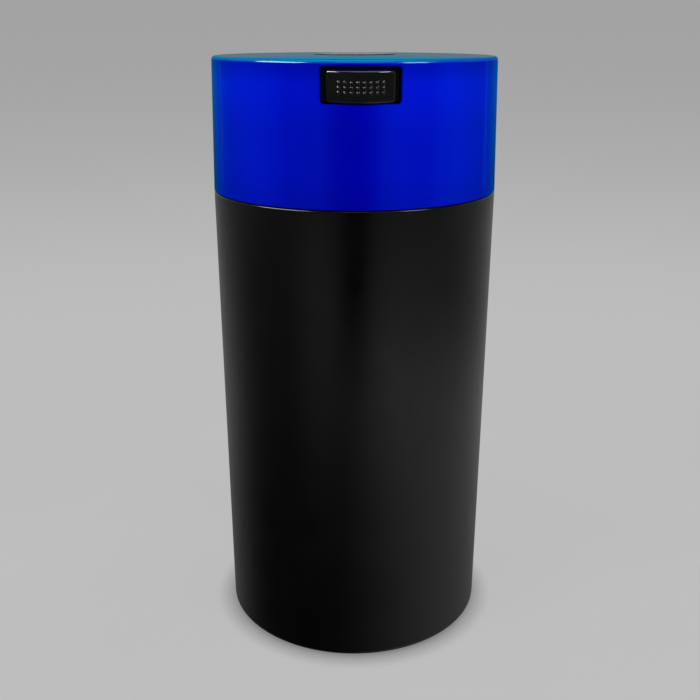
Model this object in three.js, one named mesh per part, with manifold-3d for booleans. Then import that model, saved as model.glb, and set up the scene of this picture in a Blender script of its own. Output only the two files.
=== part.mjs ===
// Push-button vacuum storage canister: a tapered cup, a welded-in neck with a lip seal, and a deep
// cap that telescopes over the neck. A thumb button in the cap's side wall lifts a small poppet
// valve to let air in or out.
// Frame: millimetres, +Z up, origin at the centre of the foot ring, button at the front, facing -Y.
import * as THREE from "three";
import { mergeVertices } from "three/addons/utils/BufferGeometryUtils.js";
import Module from "manifold-3d";

const wasm = await Module();
wasm.setup();

// ---------- shared dimensions ----------
const SEG = 60; // sides of the large turned parts
const FINE_SEG = 120; // sides of the housing seal's arcs
const SIDES = [-1, 1]; // left, right

const SEAM_Z = 209.0; // top rim of the cup
const R_SEAM = 63.5; // largest radius, at the seam
const TOP_Z = 266.5; // rim of the cap's top
const R_TOP = 62.4; // cap outer radius at the top (draft)
const CAP_EDGE = 1.6; // top edge radius
const CROWN = 0.65; // rise of the top at its middle
const CEILING_Z = 264.3; // underside of the cap's top wall

const BADGE_A = 17.8; // half axes of the oval badge, along X and Y
const BADGE_B = 17.0;
const BADGE_SEAT = 266.75; // floor of the recess the badge sits in

const OPEN_W = 31.6; // button opening in the cap wall
const OPEN_Z0 = 250.0;
const POCKET_X = 17.3; // inner half width of the housing behind the opening
const POCKET_FRONT = -56.2;
const POCKET_BACK = -30.0;
const RIM_Z = 248.0; // lower rim of the housing, which the gasket seals on
const HOUSING_TOP = 263.4;
const TRIM_FRONT = -62; // front of the boxes that are then trimmed to an arc

const SCREW_X = 22.9;
const SCREW_FRONT_Y = -50.5;
const SCREW_BACK_Y = -31.5;
const SCREW_XY = [
  [SCREW_X, SCREW_FRONT_Y],
  [SCREW_X, SCREW_BACK_Y],
  [-SCREW_X, SCREW_FRONT_Y],
  [-SCREW_X, SCREW_BACK_Y],
];
const BOSS_R = 3.0;
const BOSS_Z = 258.3; // lower end of the cap's screw bosses, on which the housing's bosses bear

const VALVE_Y = -40.0;
const VALVE_BORE = 2.5;
const PIN_Z = 253.5;
const PIN_R = 1.0;
const SPRING_X = 13.5; // button springs
const SPRING_Z = 256.0;
const PEG_R = 1.3; // pegs inside both ends of the button springs
const WIRE_R = 0.3; // wire of all springs
const LUG_BACK = -53.6; // back of the button's side lugs, where its springs bear

// ---------- materials ----------
const BLACK = new THREE.MeshStandardMaterial({ color: 0x0b0b0c, roughness: 0.38, metalness: 0 });
const BLUE = new THREE.MeshStandardMaterial({ color: 0x0412a8, roughness: 0.2, metalness: 0 });
const BUTTON_BLACK = new THREE.MeshStandardMaterial({
  color: 0x0a0b0d,
  roughness: 0.25,
  metalness: 0,
});
const SILICONE = new THREE.MeshStandardMaterial({ color: 0xd9dcdc, roughness: 0.5, metalness: 0 });
const RUBBER = new THREE.MeshStandardMaterial({ color: 0x1c1c1e, roughness: 0.8, metalness: 0 });
const STEEL = new THREE.MeshStandardMaterial({ color: 0xc4c6c8, roughness: 0.3, metalness: 1 });
const FOIL = new THREE.MeshStandardMaterial({ color: 0xcfc3c6, roughness: 0.35, metalness: 0.6 });
const NATURAL = new THREE.MeshStandardMaterial({ color: 0xe4e2da, roughness: 0.45, metalness: 0 });

// ---------- helpers ----------
// A three.js geometry as a manifold-3d solid, turned right side out if need be.
function solid(geometry) {
  const bare = new THREE.BufferGeometry();
  bare.setAttribute("position", geometry.attributes.position);
  bare.setIndex(geometry.index);
  const merged = mergeVertices(bare, 1e-4);
  const index = merged.index.array;
  const triangles = [];
  for (let i = 0; i < index.length; i += 3) {
    const [a, b, c] = [index[i], index[i + 1], index[i + 2]];
    if (a !== b && b !== c && a !== c) triangles.push([a, b, c]);
  }
  const make = (faces) =>
    new wasm.Manifold(
      new wasm.Mesh({
        numProp: 3,
        vertProperties: new Float32Array(merged.attributes.position.array),
        triVerts: new Uint32Array(faces.flat()),
      }),
    );
  const result = make(triangles);
  return result.volume() >= 0 ? result : make(triangles.map(([a, b, c]) => [a, c, b]));
}

// A closed (r, z) profile turned about +Z.
function turned(profile, segments = SEG) {
  const points = profile.map(([r, z]) => new THREE.Vector2(r, z));
  const onAxis = profile[0][0] === 0 && profile[profile.length - 1][0] === 0;
  if (!onAxis) points.push(points[0].clone());
  return solid(new THREE.LatheGeometry(points, segments).rotateX(Math.PI / 2));
}

// A large disc about the Z axis.
const disc = (r, z0, z1, segments) => turned([[0, z0], [r, z0], [r, z1], [0, z1]], segments);

// An arc of n steps in a profile, angles in degrees.
function arc(centreR, centreZ, radius, start, end, n) {
  return Array.from({ length: n + 1 }, (_, i) => {
    const angle = THREE.MathUtils.degToRad(start + ((end - start) * i) / n);
    return [centreR + radius * Math.cos(angle), centreZ + radius * Math.sin(angle)];
  });
}

// A box; its two x ends may come in either order.
function box(x0, x1, y0, y1, z0, z1) {
  const geometry = new THREE.BoxGeometry(Math.abs(x1 - x0), y1 - y0, z1 - z0);
  return solid(geometry.translate((x0 + x1) / 2, (y0 + y1) / 2, (z0 + z1) / 2));
}

// A box centred on x = 0.
const midBox = (halfX, y0, y1, z0, z1) => box(-halfX, halfX, y0, y1, z0, z1);

function cylinderZ(x, y, r, z0, z1, segments = 24) {
  const geometry = new THREE.CylinderGeometry(r, r, z1 - z0, segments).rotateX(Math.PI / 2);
  return solid(geometry.translate(x, y, (z0 + z1) / 2));
}

function cylinderY(x, z, r, y0, y1) {
  const geometry = new THREE.CylinderGeometry(r, r, y1 - y0, 16);
  return solid(geometry.translate(x, (y0 + y1) / 2, z));
}

// A cylinder along X, centred on x = 0.
function cylinderX(y, z, r, halfLength) {
  const geometry = new THREE.CylinderGeometry(r, r, 2 * halfLength, 20).rotateZ(Math.PI / 2);
  return solid(geometry.translate(0, y, z));
}

// An outline pushed out by depth, then placed by a matrix.
function extruded(shape, depth, curveSegments, placement) {
  const options = { depth, bevelEnabled: false, curveSegments };
  return solid(new THREE.ExtrudeGeometry(shape, options).applyMatrix4(placement));
}

// A (y, z) outline spread along X; the x ends may come in either order.
function sideSlab(points, x0, x1) {
  const shape = new THREE.Shape(points.map(([y, z]) => new THREE.Vector2(y, z)));
  // shape x -> world y, shape y -> world z, depth -> world x
  const placement = new THREE.Matrix4().set(
    0, 0, 1, Math.min(x0, x1),
    1, 0, 0, 0,
    0, 1, 0, 0,
    0, 0, 0, 1,
  );
  return extruded(shape, Math.abs(x1 - x0), 1, placement);
}

// A rounded rectangle in XZ pushed along Y.
function frontSlab(halfX, z0, z1, radius, y0, y1) {
  const right = halfX - radius;
  const bottom = z0 + radius;
  const top = z1 - radius;
  const shape = new THREE.Shape();
  [[right, bottom], [right, top], [-right, top], [-right, bottom]].forEach(([x, z], i) => {
    const start = ((i - 1) * Math.PI) / 2;
    shape.absarc(x, z, radius, start, start + Math.PI / 2, false);
  });
  // shape x -> world x, shape y -> world z, depth -> world -y
  const placement = new THREE.Matrix4().set(
    1, 0, 0, 0,
    0, 0, -1, y1,
    0, 1, 0, 0,
    0, 0, 0, 1,
  );
  return extruded(shape, y1 - y0, 4, placement);
}

// Drills the four screw holes through a part.
function drillScrewHoles(blank, radius, z0, z1, segments) {
  return SCREW_XY.reduce(
    (part, [x, y]) => part.subtract(cylinderZ(x, y, radius, z0, z1, segments)),
    blank,
  );
}

const END_SHARE = 0.12; // share of a spring's turns in each closed end
const END_PITCH = 0.45; // pitch of the closed ends, relative to an even helix

class Helix extends THREE.Curve {
  constructor(radius, height, coils) {
    super();
    Object.assign(this, { radius, height, coils });
  }
  getPoint(t, target = new THREE.Vector3()) {
    const endRise = END_SHARE * END_PITCH;
    let rise = endRise + ((t - END_SHARE) / (1 - 2 * END_SHARE)) * (1 - 2 * endRise);
    if (t < END_SHARE) rise = t * END_PITCH;
    if (t > 1 - END_SHARE) rise = 1 - (1 - t) * END_PITCH;
    const angle = 2 * Math.PI * this.coils * t;
    return target.set(
      this.radius * Math.cos(angle),
      this.radius * Math.sin(angle),
      rise * this.height,
    );
  }
}

// The geometry of a helical spring of round wire, along +Z from z = 0.
function spring(radius, length, coils) {
  const section = new THREE.Shape().absarc(0, 0, WIRE_R, 0, 2 * Math.PI, false);
  const geometry = new THREE.ExtrudeGeometry(section, {
    steps: coils * 12,
    extrudePath: new Helix(radius, length - 2 * WIRE_R, coils),
    bevelEnabled: false,
    curveSegments: 3,
  });
  return geometry.translate(0, 0, WIRE_R);
}

function add(parent, name, part, material) {
  const { vertProperties, triVerts } = part.getMesh();
  const geometry = new THREE.BufferGeometry();
  geometry.setAttribute("position", new THREE.BufferAttribute(vertProperties, 3));
  geometry.setIndex(new THREE.BufferAttribute(triVerts, 1));
  geometry.computeVertexNormals();
  const mesh = new THREE.Mesh(geometry, material);
  mesh.name = name;
  parent.add(mesh);
  return mesh;
}

const root = new THREE.Group();
const base = new THREE.Group();
const cap = new THREE.Group();
const valve = new THREE.Group();
root.add(base, cap);
cap.add(valve);

// ---------- cup ----------
const R_FOOT = 61.7; // cup outer radius extrapolated to the floor (draft)
const FOOT_IN = R_FOOT - 2.6; // inner radius at the floor
const RIM_IN = R_SEAM - 2.6; // inner radius at the rim, for the same wall
const FOOT_FILLET = 3.0;
const FLOOR_UNDER = 1.8; // underside recess above the foot ring
const FLOOR_TOP = 4.6;
const cupRadius = (z) => R_FOOT + ((R_SEAM - R_FOOT) * z) / SEAM_Z;
const CUP_PROFILE = [
  [0, FLOOR_UNDER],
  [50.6, FLOOR_UNDER],
  [52.2, 0],
  ...arc(R_FOOT - FOOT_FILLET, FOOT_FILLET, FOOT_FILLET, -90, 0, 4),
  [cupRadius(SEAM_Z - 0.8), SEAM_Z - 0.8],
  [R_SEAM - 0.25, SEAM_Z - 0.22],
  [R_SEAM - 0.8, SEAM_Z],
  [RIM_IN + 0.4, SEAM_Z],
  [RIM_IN, SEAM_Z - 0.4],
  [FOOT_IN + 0.1, FLOOR_TOP + 3],
  [FOOT_IN - 0.8, FLOOR_TOP + 0.9],
  [FOOT_IN - 3, FLOOR_TOP],
  [0, FLOOR_TOP],
];
add(base, "body_shell", turned(CUP_PROFILE), BLACK);

// ---------- neck, welded into the cup's mouth ----------
const NECK_IN = 56.2;
const NECK_OUT = 58.6;
const NECK_SKIRT = 60.35;
const NECK_BOTTOM = 193.5;
const NECK_SHOULDER = 212.5;
const NECK_TOP = 241.5;
const GROOVE_Z0 = 232.6;
const GROOVE_Z1 = 238.8;
const GROOVE_R = 57.5;
const NECK_PROFILE = [
  [NECK_IN + 0.6, NECK_BOTTOM],
  [NECK_SKIRT - 0.8, NECK_BOTTOM],
  [NECK_SKIRT, NECK_BOTTOM + 1.0],
  [NECK_SKIRT, NECK_SHOULDER - 0.7],
  [NECK_SKIRT - 0.7, NECK_SHOULDER],
  [NECK_OUT, NECK_SHOULDER],
  [NECK_OUT, GROOVE_Z0],
  [GROOVE_R, GROOVE_Z0],
  [GROOVE_R, GROOVE_Z1],
  [NECK_OUT - 0.1, GROOVE_Z1],
  [NECK_OUT - 0.1, NECK_TOP - 0.8],
  [NECK_OUT - 0.8, NECK_TOP],
  [NECK_IN + 0.5, NECK_TOP],
  [NECK_IN, NECK_TOP - 0.5],
  [NECK_IN, NECK_BOTTOM + 0.8],
];
add(base, "neck_sleeve", turned(NECK_PROFILE), BLACK);

// ---------- seal in the neck's groove, with two lips ----------
const LIP_ROOT_R = 58.95;
const lip = (z) => [
  [LIP_ROOT_R, z],
  [60.2, z + 1.2],
  [60.25, z + 1.65],
  [LIP_ROOT_R, z + 1.1],
];
const LIP_SEAL_PROFILE = [
  [GROOVE_R + 0.2, GROOVE_Z0 + 0.2],
  [LIP_ROOT_R, GROOVE_Z0 + 0.2],
  ...lip(GROOVE_Z0 + 1.1),
  ...lip(GROOVE_Z0 + 3.9),
  [LIP_ROOT_R, GROOVE_Z1 - 0.2],
  [GROOVE_R + 0.2, GROOVE_Z1 - 0.2],
];
add(base, "neck_seal", turned(LIP_SEAL_PROFILE), SILICONE);

// ---------- cap ----------
const CAP_WALL = 2.4;
const CAP_Z0 = SEAM_Z + 0.35; // cap rim, a small gap above the cup rim
const CAP_IN_RIM = R_SEAM - CAP_WALL;
const CAP_IN_TOP = R_TOP - CAP_WALL;
const CROWN_R = R_TOP - CAP_EDGE;
const BOSS_ROOT = CEILING_Z + 0.5; // the bosses run this far into the top wall
const RIB_REACH = 1.25; // outer end of a boss's rib, as a multiple of the boss's x

// The crowned top, raised by lift, as points from radius r0 to the axis.
const crown = (r0, lift = 0) =>
  [1, 0.88, 0.76, 0.64, 0.52, 0.4, 0.28, 0.14, 0].map((share) => {
    const r = r0 * share;
    return [r, TOP_Z + lift + CROWN * (1 - (r / CROWN_R) ** 2)];
  });

// An oval slab with the badge's outline, grown by margin, that ends above the cap's top.
function badgeOval(margin, z0) {
  const shape = new THREE.Shape();
  shape.absellipse(0, 0, BADGE_A + margin, BADGE_B + margin, 0, 2 * Math.PI, false, 0);
  const placement = new THREE.Matrix4().makeTranslation(0, 0, z0);
  return extruded(shape, TOP_Z + 3 - z0, 20, placement);
}

// The valve stem's guide and four screw bosses, the front two ribbed to the wall.
function capBosses() {
  let bosses = cylinderZ(0, VALVE_Y, 3.7, 259.5, BOSS_ROOT);
  for (const [x, y] of SCREW_XY) {
    bosses = bosses.add(cylinderZ(x, y, BOSS_R, BOSS_Z, BOSS_ROOT));
    if (y === SCREW_FRONT_Y) {
      bosses = bosses.add(box(x, x * RIB_REACH, y - 0.7, y + 0.7, BOSS_Z + 0.8, BOSS_ROOT));
    }
  }
  return bosses.intersect(disc(60.9, 240, CEILING_Z + 0.6));
}

function capShell() {
  const profile = [
    [0, CEILING_Z],
    [CAP_IN_TOP - 0.3, CEILING_Z],
    [CAP_IN_TOP, CEILING_Z - 0.3],
    [CAP_IN_RIM, CAP_Z0 + 0.6],
    [CAP_IN_RIM + 0.5, CAP_Z0],
    [R_SEAM - 0.5, CAP_Z0],
    [R_SEAM, CAP_Z0 + 0.5],
    ...arc(CROWN_R, TOP_Z - CAP_EDGE, CAP_EDGE, 0, 90, 4),
    ...crown(CROWN_R).slice(1),
  ];
  const opening = frontSlab(OPEN_W / 2, OPEN_Z0, 264.1, 1.6, -70, -56);
  const shell = turned(profile)
    .add(capBosses())
    .subtract(cylinderZ(0, VALVE_Y, 2.45, 250, CEILING_Z)) // bore of the stem guide
    .subtract(opening);
  return drillScrewHoles(shell, 1.1, BOSS_Z - 1, 263.4, 16).subtract(badgeOval(0.3, BADGE_SEAT));
}
add(cap, "cap_shell", capShell(), BLUE);

// ---------- housing behind the opening: four walls, open above and below, four bosses ----------
const POCKET_WALL = 2.2;
const HOUSING_R = 58.9; // front arc of the housing, inside the cap wall
const HOUSING_BOSS_TOP = BOSS_Z - 0.15;

const pocket = (z0, z1) => midBox(POCKET_X, POCKET_FRONT, POCKET_BACK, z0, z1);

function buttonHousing() {
  const outerX = POCKET_X + POCKET_WALL;
  let housing = midBox(outerX, TRIM_FRONT, POCKET_BACK + POCKET_WALL, RIM_Z, HOUSING_TOP);
  for (const [x, y] of SCREW_XY) {
    housing = housing
      .add(cylinderZ(x, y, BOSS_R, RIM_Z, HOUSING_BOSS_TOP))
      .add(box(Math.sign(x) * 19, x, y - 1.2, y + 1.2, RIM_Z, HOUSING_BOSS_TOP));
  }
  housing = housing
    .intersect(disc(HOUSING_R, 240, 270))
    .subtract(pocket(RIM_Z - 5, HOUSING_TOP + 5))
    .subtract(midBox(OPEN_W / 2, TRIM_FRONT, POCKET_FRONT + 1, OPEN_Z0, HOUSING_TOP + 5));
  housing = drillScrewHoles(housing, 1.35, RIM_Z - 1, BOSS_Z + 1, 16);
  // pegs that hold the back ends of the button springs
  for (const side of SIDES) {
    const peg = cylinderY(side * SPRING_X, SPRING_Z, PEG_R, POCKET_BACK - 4, POCKET_BACK + 1);
    housing = housing.add(peg);
  }
  return housing;
}
add(cap, "button_housing", buttonHousing(), BLACK);

// ---------- seal between the housing and the cap: along the ceiling and around the opening ------
const SEAL_R0 = 59.05;
const SEAL_R1 = 59.7;
const SEAL_X = 19.3; // outer half width
const SEAL_Z0 = RIM_Z + 0.2;
const SEAL_TOP = 263.95;

function housingSeal() {
  const band = [[SEAL_R0, SEAL_Z0], [SEAL_R1, SEAL_Z0], [SEAL_R1, SEAL_TOP], [SEAL_R0, SEAL_TOP]];
  const front = turned(band, FINE_SEG)
    .intersect(midBox(SEAL_X, TRIM_FRONT, -50, SEAL_Z0, SEAL_TOP))
    .subtract(midBox(OPEN_W / 2 + 0.5, TRIM_FRONT, -50, OPEN_Z0 - 0.4, SEAL_TOP + 1));
  const top = midBox(SEAL_X, TRIM_FRONT, POCKET_BACK + 2.0, HOUSING_TOP + 0.15, SEAL_TOP)
    .subtract(midBox(17.5, TRIM_FRONT - 1, POCKET_BACK + 0.2, HOUSING_TOP - 1, SEAL_TOP + 1))
    .intersect(disc(SEAL_R1 - 0.05, 240, 270, FINE_SEG));
  return front.add(top);
}
add(cap, "housing_seal", housingSeal(), RUBBER);

// ---------- oval badge on the top, in two steps that follow the crown ----------
const badgeStep = (margin, lift) =>
  badgeOval(margin, BADGE_SEAT + 0.1).intersect(turned([[0, 255], [40, 255], ...crown(40, lift)]));
add(cap, "top_badge", badgeStep(0, 0.15).add(badgeStep(-0.4, 0.3)), FOIL);

// ---------- valve plate, gasket and screws closing the pocket from below ----------
const PLATE_Z0 = 244.8;
const PLATE_Z1 = 247.0;
const PLATE_R = 59.6; // front arc of plate and gasket
const PLATE_X = 19.4;
const PLATE_BACK = -28.1;
const EAR_R = 3.3; // ears around the screws
const GASKET_Z0 = 247.1;
const GASKET_Z1 = 247.9;

// The outline shared by plate and gasket, drawn in by shrink.
function plateBlank(z0, z1, holeR, shrink) {
  const earR = EAR_R - shrink;
  let blank = midBox(PLATE_X - shrink, TRIM_FRONT, PLATE_BACK - shrink, z0, z1);
  for (const [x, y] of SCREW_XY) {
    blank = blank
      .add(cylinderZ(x, y, earR, z0, z1, 20))
      .add(box(Math.sign(x) * 18, x, y - earR, y + earR, z0, z1));
  }
  return drillScrewHoles(blank.intersect(disc(PLATE_R, 230, 260)), holeR, z0 - 1, z1 + 1, 20);
}

// The plate, with a raised valve seat and a rail on each side of the button's arms.
function valvePlate() {
  let plate = plateBlank(PLATE_Z0, PLATE_Z1, 1.4, 0);
  plate = plate.add(cylinderZ(0, VALVE_Y, 4.1, PLATE_Z0 + 0.5, PLATE_Z1 + 1.0));
  for (const side of SIDES) {
    plate = plate.add(box(side * 10.55, side * 11.8, -54, -33, PLATE_Z0 + 0.5, PLATE_Z1 + 2.5));
  }
  return plate.subtract(cylinderZ(0, VALVE_Y, VALVE_BORE, PLATE_Z0 - 1, PLATE_Z1 + 3));
}
add(cap, "valve_plate", valvePlate(), BUTTON_BLACK);

const gasket = plateBlank(GASKET_Z0, GASKET_Z1, 1.7, 0.15).subtract(
  pocket(GASKET_Z0 - 1, GASKET_Z1 + 1),
);
add(cap, "plate_gasket", gasket, RUBBER);

const HEAD_Z0 = 243.2;
const HEAD_Z1 = 244.7;
const HEAD_R = 2.3;
const SHANK_R = 1.0;
const SCREW_PROFILE = [
  [0, HEAD_Z0],
  [1.7, HEAD_Z0],
  [HEAD_R, HEAD_Z0 + 0.5],
  [HEAD_R, HEAD_Z1],
  [SHANK_R, HEAD_Z1],
  [SHANK_R, 261.6],
  [0, 262.8],
];
SCREW_XY.forEach(([x, y], i) => {
  // with a cross recess in the head
  const screw = turned(SCREW_PROFILE, 20)
    .subtract(midBox(1.2, -0.25, 0.25, HEAD_Z0 - 1, HEAD_Z0 + 0.9))
    .subtract(midBox(0.25, -1.2, 1.2, HEAD_Z0 - 1, HEAD_Z0 + 0.9));
  add(cap, `plate_screw_${i + 1}`, screw, STEEL).position.set(x, y, 0);
});

// ---------- push button ----------
const BUTTON_W = 27.1;
const BUTTON_Z0 = 250.6;
const BUTTON_Z1 = 262.6;
const BUTTON_BACK = -54.2;
const FACE_R = 25.0; // radius of the button's curved face
const FACE_Y = -64.1; // front of the face at its middle
const LUG_FRONT = -55.9; // side lugs that stop the button behind the housing's front wall

const ARM_X0 = 8.4; // the two arms that carry the ramps under the lift pin
const ARM_X1 = 10.2;
const ARM_Z0 = 247.25;
const ARM_STEP_Y = -55.8; // in front of this the arm's underside is at ARM_STEP_Z
const ARM_STEP_Z = 251.5;
const ARM_FRONT = -61.2;
const ARM_BACK = -34.4;
const RAMP_FRONT = -47.2;
const RAMP_BACK = -35.8;
const RAMP_SLOPE = 0.5; // valve lift per unit of button travel

const BUMP_COLS = 8; // rows of round grip bumps on the button's face
const BUMP_ROWS = 3;
const BUMP_PITCH_X = 2.5;
const BUMP_PITCH_Z = 1.9;
const BUMP_R = 0.6;
const BUMP_Z = 256.4;
const BUMP_RISE = 0.35;

// The cylinder of the button's face, moved forward by rise.
const faceCylinder = (rise) => cylinderZ(0, FACE_Y - rise + FACE_R, FACE_R, 226, 286, 180);

// Height of the ramp at y, with a little play below the pin.
const rampZ = (y) =>
  PIN_Z - (PIN_R + 0.1) * Math.sqrt(1 + RAMP_SLOPE ** 2) + RAMP_SLOPE * (VALVE_Y - y);

const ARM_OUTLINE = [
  [ARM_STEP_Y, ARM_Z0],
  [ARM_BACK, ARM_Z0],
  [ARM_BACK, rampZ(RAMP_BACK)],
  [RAMP_BACK, rampZ(RAMP_BACK)],
  [RAMP_FRONT, rampZ(RAMP_FRONT)],
  [ARM_FRONT, rampZ(RAMP_FRONT)],
  [ARM_FRONT, ARM_STEP_Z],
  [ARM_STEP_Y, ARM_STEP_Z],
];

function pressButton() {
  let button = frontSlab(BUTTON_W / 2, BUTTON_Z0, BUTTON_Z1, 1.2, -70, BUTTON_BACK)
    .intersect(faceCylinder(0))
    .subtract(midBox(11.6, -60.0, -50, 252.4, 260.8)); // hollow back
  // lugs, spring pegs and arms
  for (const side of SIDES) {
    button = button
      .add(box(side * 12.6, side * 16.9, LUG_FRONT, LUG_BACK, 250.5, 262.8))
      .add(cylinderY(side * SPRING_X, SPRING_Z, PEG_R, LUG_BACK - 1, LUG_BACK + 4))
      .add(sideSlab(ARM_OUTLINE, side * ARM_X0, side * ARM_X1));
  }
  // floor and web that join the arms
  button = button
    .add(midBox(ARM_X1, ARM_STEP_Y, -50.4, ARM_Z0, 248.9))
    .add(midBox(ARM_X1, ARM_STEP_Y, BUTTON_BACK, ARM_Z0, ARM_STEP_Z));
  // grip bumps that follow the face and stand proud of it
  const bumpFace = faceCylinder(BUMP_RISE);
  for (let i = 0; i < BUMP_COLS; i++) {
    for (let j = 0; j < BUMP_ROWS; j++) {
      const x = (i - (BUMP_COLS - 1) / 2) * BUMP_PITCH_X;
      const z = BUMP_Z + (j - (BUMP_ROWS - 1) / 2) * BUMP_PITCH_Z;
      button = button.add(cylinderY(x, z, BUMP_R, -70, -60.8).intersect(bumpFace));
    }
  }
  return button;
}
add(cap, "press_button", pressButton(), BUTTON_BLACK);

// ---------- button return springs ----------
const SPRING_FRONT = LUG_BACK + 0.15;
const SPRING_BACK = POCKET_BACK - 0.2;
for (const side of SIDES) {
  const coil = spring(2.2, SPRING_BACK - SPRING_FRONT, 8)
    .rotateX(-Math.PI / 2)
    .translate(side * SPRING_X, SPRING_FRONT, SPRING_Z);
  add(cap, `button_spring_${side < 0 ? "left" : "right"}`, solid(coil), STEEL);
}

// ---------- poppet valve ----------
const STEM_R = 2.0;
const COLLAR_R = 5.2; // collar under the valve spring
const COLLAR_Z0 = 255.6;
const COLLAR_Z1 = 256.3;
const POPPET_PROFILE = [
  [0, 249.2],
  [5.0, 249.2],
  [5.0, 250.3],
  [4.6, 250.7],
  [STEM_R, 250.9],
  [STEM_R, COLLAR_Z0],
  [COLLAR_R, COLLAR_Z0],
  [COLLAR_R, COLLAR_Z1],
  [STEM_R, COLLAR_Z1],
  [STEM_R, 261.6],
  [STEM_R - 0.5, 262.0],
  [0, 262.0],
];
// with a cross-shaped tail in the plate's bore and a cross hole for the lift pin
const poppet = turned(POPPET_PROFILE, 24)
  .add(midBox(2.2, -0.45, 0.45, 245.4, 249.6))
  .add(midBox(0.45, -2.2, 2.2, 245.4, 249.6))
  .subtract(cylinderX(0, PIN_Z, PIN_R + 0.15, 4));
add(valve, "valve_poppet", poppet, NATURAL).position.set(0, VALVE_Y, 0);

const VALVE_SEAL_PROFILE = [
  [VALVE_BORE, 248.1],
  [4.5, 248.1],
  [4.8, 248.4],
  [4.8, 249.1],
  [VALVE_BORE, 249.1],
];
const valveSeal = turned(VALVE_SEAL_PROFILE, 24);
add(valve, "valve_seal", valveSeal, SILICONE).position.set(0, VALVE_Y, 0);

add(valve, "lift_pin", cylinderX(VALVE_Y, PIN_Z, PIN_R, 10.4), STEEL);

const VALVE_SPRING_Z0 = COLLAR_Z1 + 0.1;
const valveSpring = spring(4.35, CEILING_Z - 0.1 - VALVE_SPRING_Z0, 4);
add(valve, "valve_spring", solid(valveSpring.translate(0, VALVE_Y, VALVE_SPRING_Z0)), STEEL);

export default root;
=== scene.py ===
"""A drinking canister: black cup, blue cap with a push button, and the valve the button lifts.

It stands on z = 0 with its axis along Z. The button faces -Y, and +X is to its right as seen
from the front. Lengths are in mm until a mesh is made. Angles round the axis start at -Y and
grow towards +X.
"""

import math

import bmesh
import bpy
import numpy as np
from mathutils import Matrix, Vector
from mathutils.geometry import tessellate_polygon


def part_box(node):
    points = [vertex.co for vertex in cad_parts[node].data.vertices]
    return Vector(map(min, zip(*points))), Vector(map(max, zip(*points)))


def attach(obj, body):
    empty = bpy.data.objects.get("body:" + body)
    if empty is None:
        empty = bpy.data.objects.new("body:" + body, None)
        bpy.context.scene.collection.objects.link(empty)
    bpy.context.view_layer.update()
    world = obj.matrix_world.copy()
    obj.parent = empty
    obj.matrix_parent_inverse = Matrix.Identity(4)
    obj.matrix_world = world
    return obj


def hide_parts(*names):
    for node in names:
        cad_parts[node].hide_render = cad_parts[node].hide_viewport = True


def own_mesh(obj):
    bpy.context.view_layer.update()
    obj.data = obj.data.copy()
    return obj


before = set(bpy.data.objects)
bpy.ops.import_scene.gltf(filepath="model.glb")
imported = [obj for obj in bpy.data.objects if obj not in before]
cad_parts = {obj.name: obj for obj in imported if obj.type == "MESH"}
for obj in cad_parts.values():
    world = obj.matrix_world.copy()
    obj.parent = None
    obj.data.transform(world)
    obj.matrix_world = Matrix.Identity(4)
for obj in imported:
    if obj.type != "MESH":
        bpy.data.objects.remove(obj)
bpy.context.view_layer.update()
MM = 0.001

# ------------------------------------------------------------------ shared dimensions, mm
SEAM_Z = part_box("body_shell")[1][2] / MM  # top of the cup
CAP_Z0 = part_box("cap_shell")[0][2] / MM
TOP_Z = 266.5  # rim of the cap's top
CROWN = 0.65  # rise of the top's middle over its rim
R_SEAM, R_FOOT, R_TOP = 63.5, 61.7, 62.4
CAP_EDGE = 1.6  # fillet between the cap's wall and top
CEILING = 264.3  # underside of the cap's top
SEGS = 288  # divisions round the large turned pieces

WIN_X, WIN_Z0, WIN_Z1, WIN_R = 15.8, 250.0, 263.35, 1.6  # the button's opening: half width, heights
BADGE_A, BADGE_B = 17.8, 17.0  # half axes of the oval badge
SEAT = 266.75  # floor of the badge's recess

SCREW_X, SCREW_FRONT_Y, SCREW_BACK_Y = 22.9, -50.5, -31.5
SCREWS = [(x, y) for x in (SCREW_X, -SCREW_X) for y in (SCREW_FRONT_Y, SCREW_BACK_Y)]
HOUSING_Z0, HOUSING_TOP = 248.0, 263.4
BOSS_Z = 258.15  # tops of the housing's screw bosses
PLATE_R = 59.6  # front arc of the valve plate and its gasket
SPRING_X, SPRING_Z = 13.5, 256.0  # axes of the two button springs
SPRING_FRONT, SPRING_BACK = -53.45, -30.2
WIRE = 0.3  # radius of the spring wire
VALVE_Y = -40.0
VALVE = (0, VALVE_Y)
PIN_R, PIN_Z = 1.0, 253.5
SIDES = (-1, 1)  # left, right


# ------------------------------------------------------------------ outlines
def around(angle, radius, radius_y=None, at=(0, 0)):
    """A point on a circle or an oval."""
    radius_y = radius if radius_y is None else radius_y
    return at[0] + radius * math.sin(angle), at[1] - radius_y * math.cos(angle)


def arc(radius, x0, x1, count):
    """Points on the front of a circle about the axis, from x0 to x1."""
    start, end = math.asin(x0 / radius), math.asin(x1 / radius)
    return [around(start + (end - start) * i / count, radius) for i in range(count + 1)]


def corner_arc(before, corner, after, radius, steps):
    """The points of a fillet at a corner, between the directions to its neighbours."""
    a, b = before - corner, after - corner
    len_a, len_b = np.linalg.norm(a), np.linalg.norm(b)
    a, b = a / len_a, b / len_b
    half = math.acos(float(np.clip(a @ b, -1, 1))) / 2
    if radius <= 0 or half > math.radians(89):
        return [corner]
    reach = min(radius / math.tan(half), 0.48 * len_a, 0.48 * len_b)
    radius = reach * math.tan(half)
    centre = corner + (a + b) / np.linalg.norm(a + b) * radius / math.sin(half)
    start, end = corner + a * reach - centre, corner + b * reach - centre
    sweep = math.pi - 2 * half
    out = []
    for i in range(steps + 1):
        t = i / steps
        start_share = math.sin((1 - t) * sweep) / math.sin(sweep)
        end_share = math.sin(t * sweep) / math.sin(sweep)
        out.append(centre + start * start_share + end * end_share)
    return out


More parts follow.
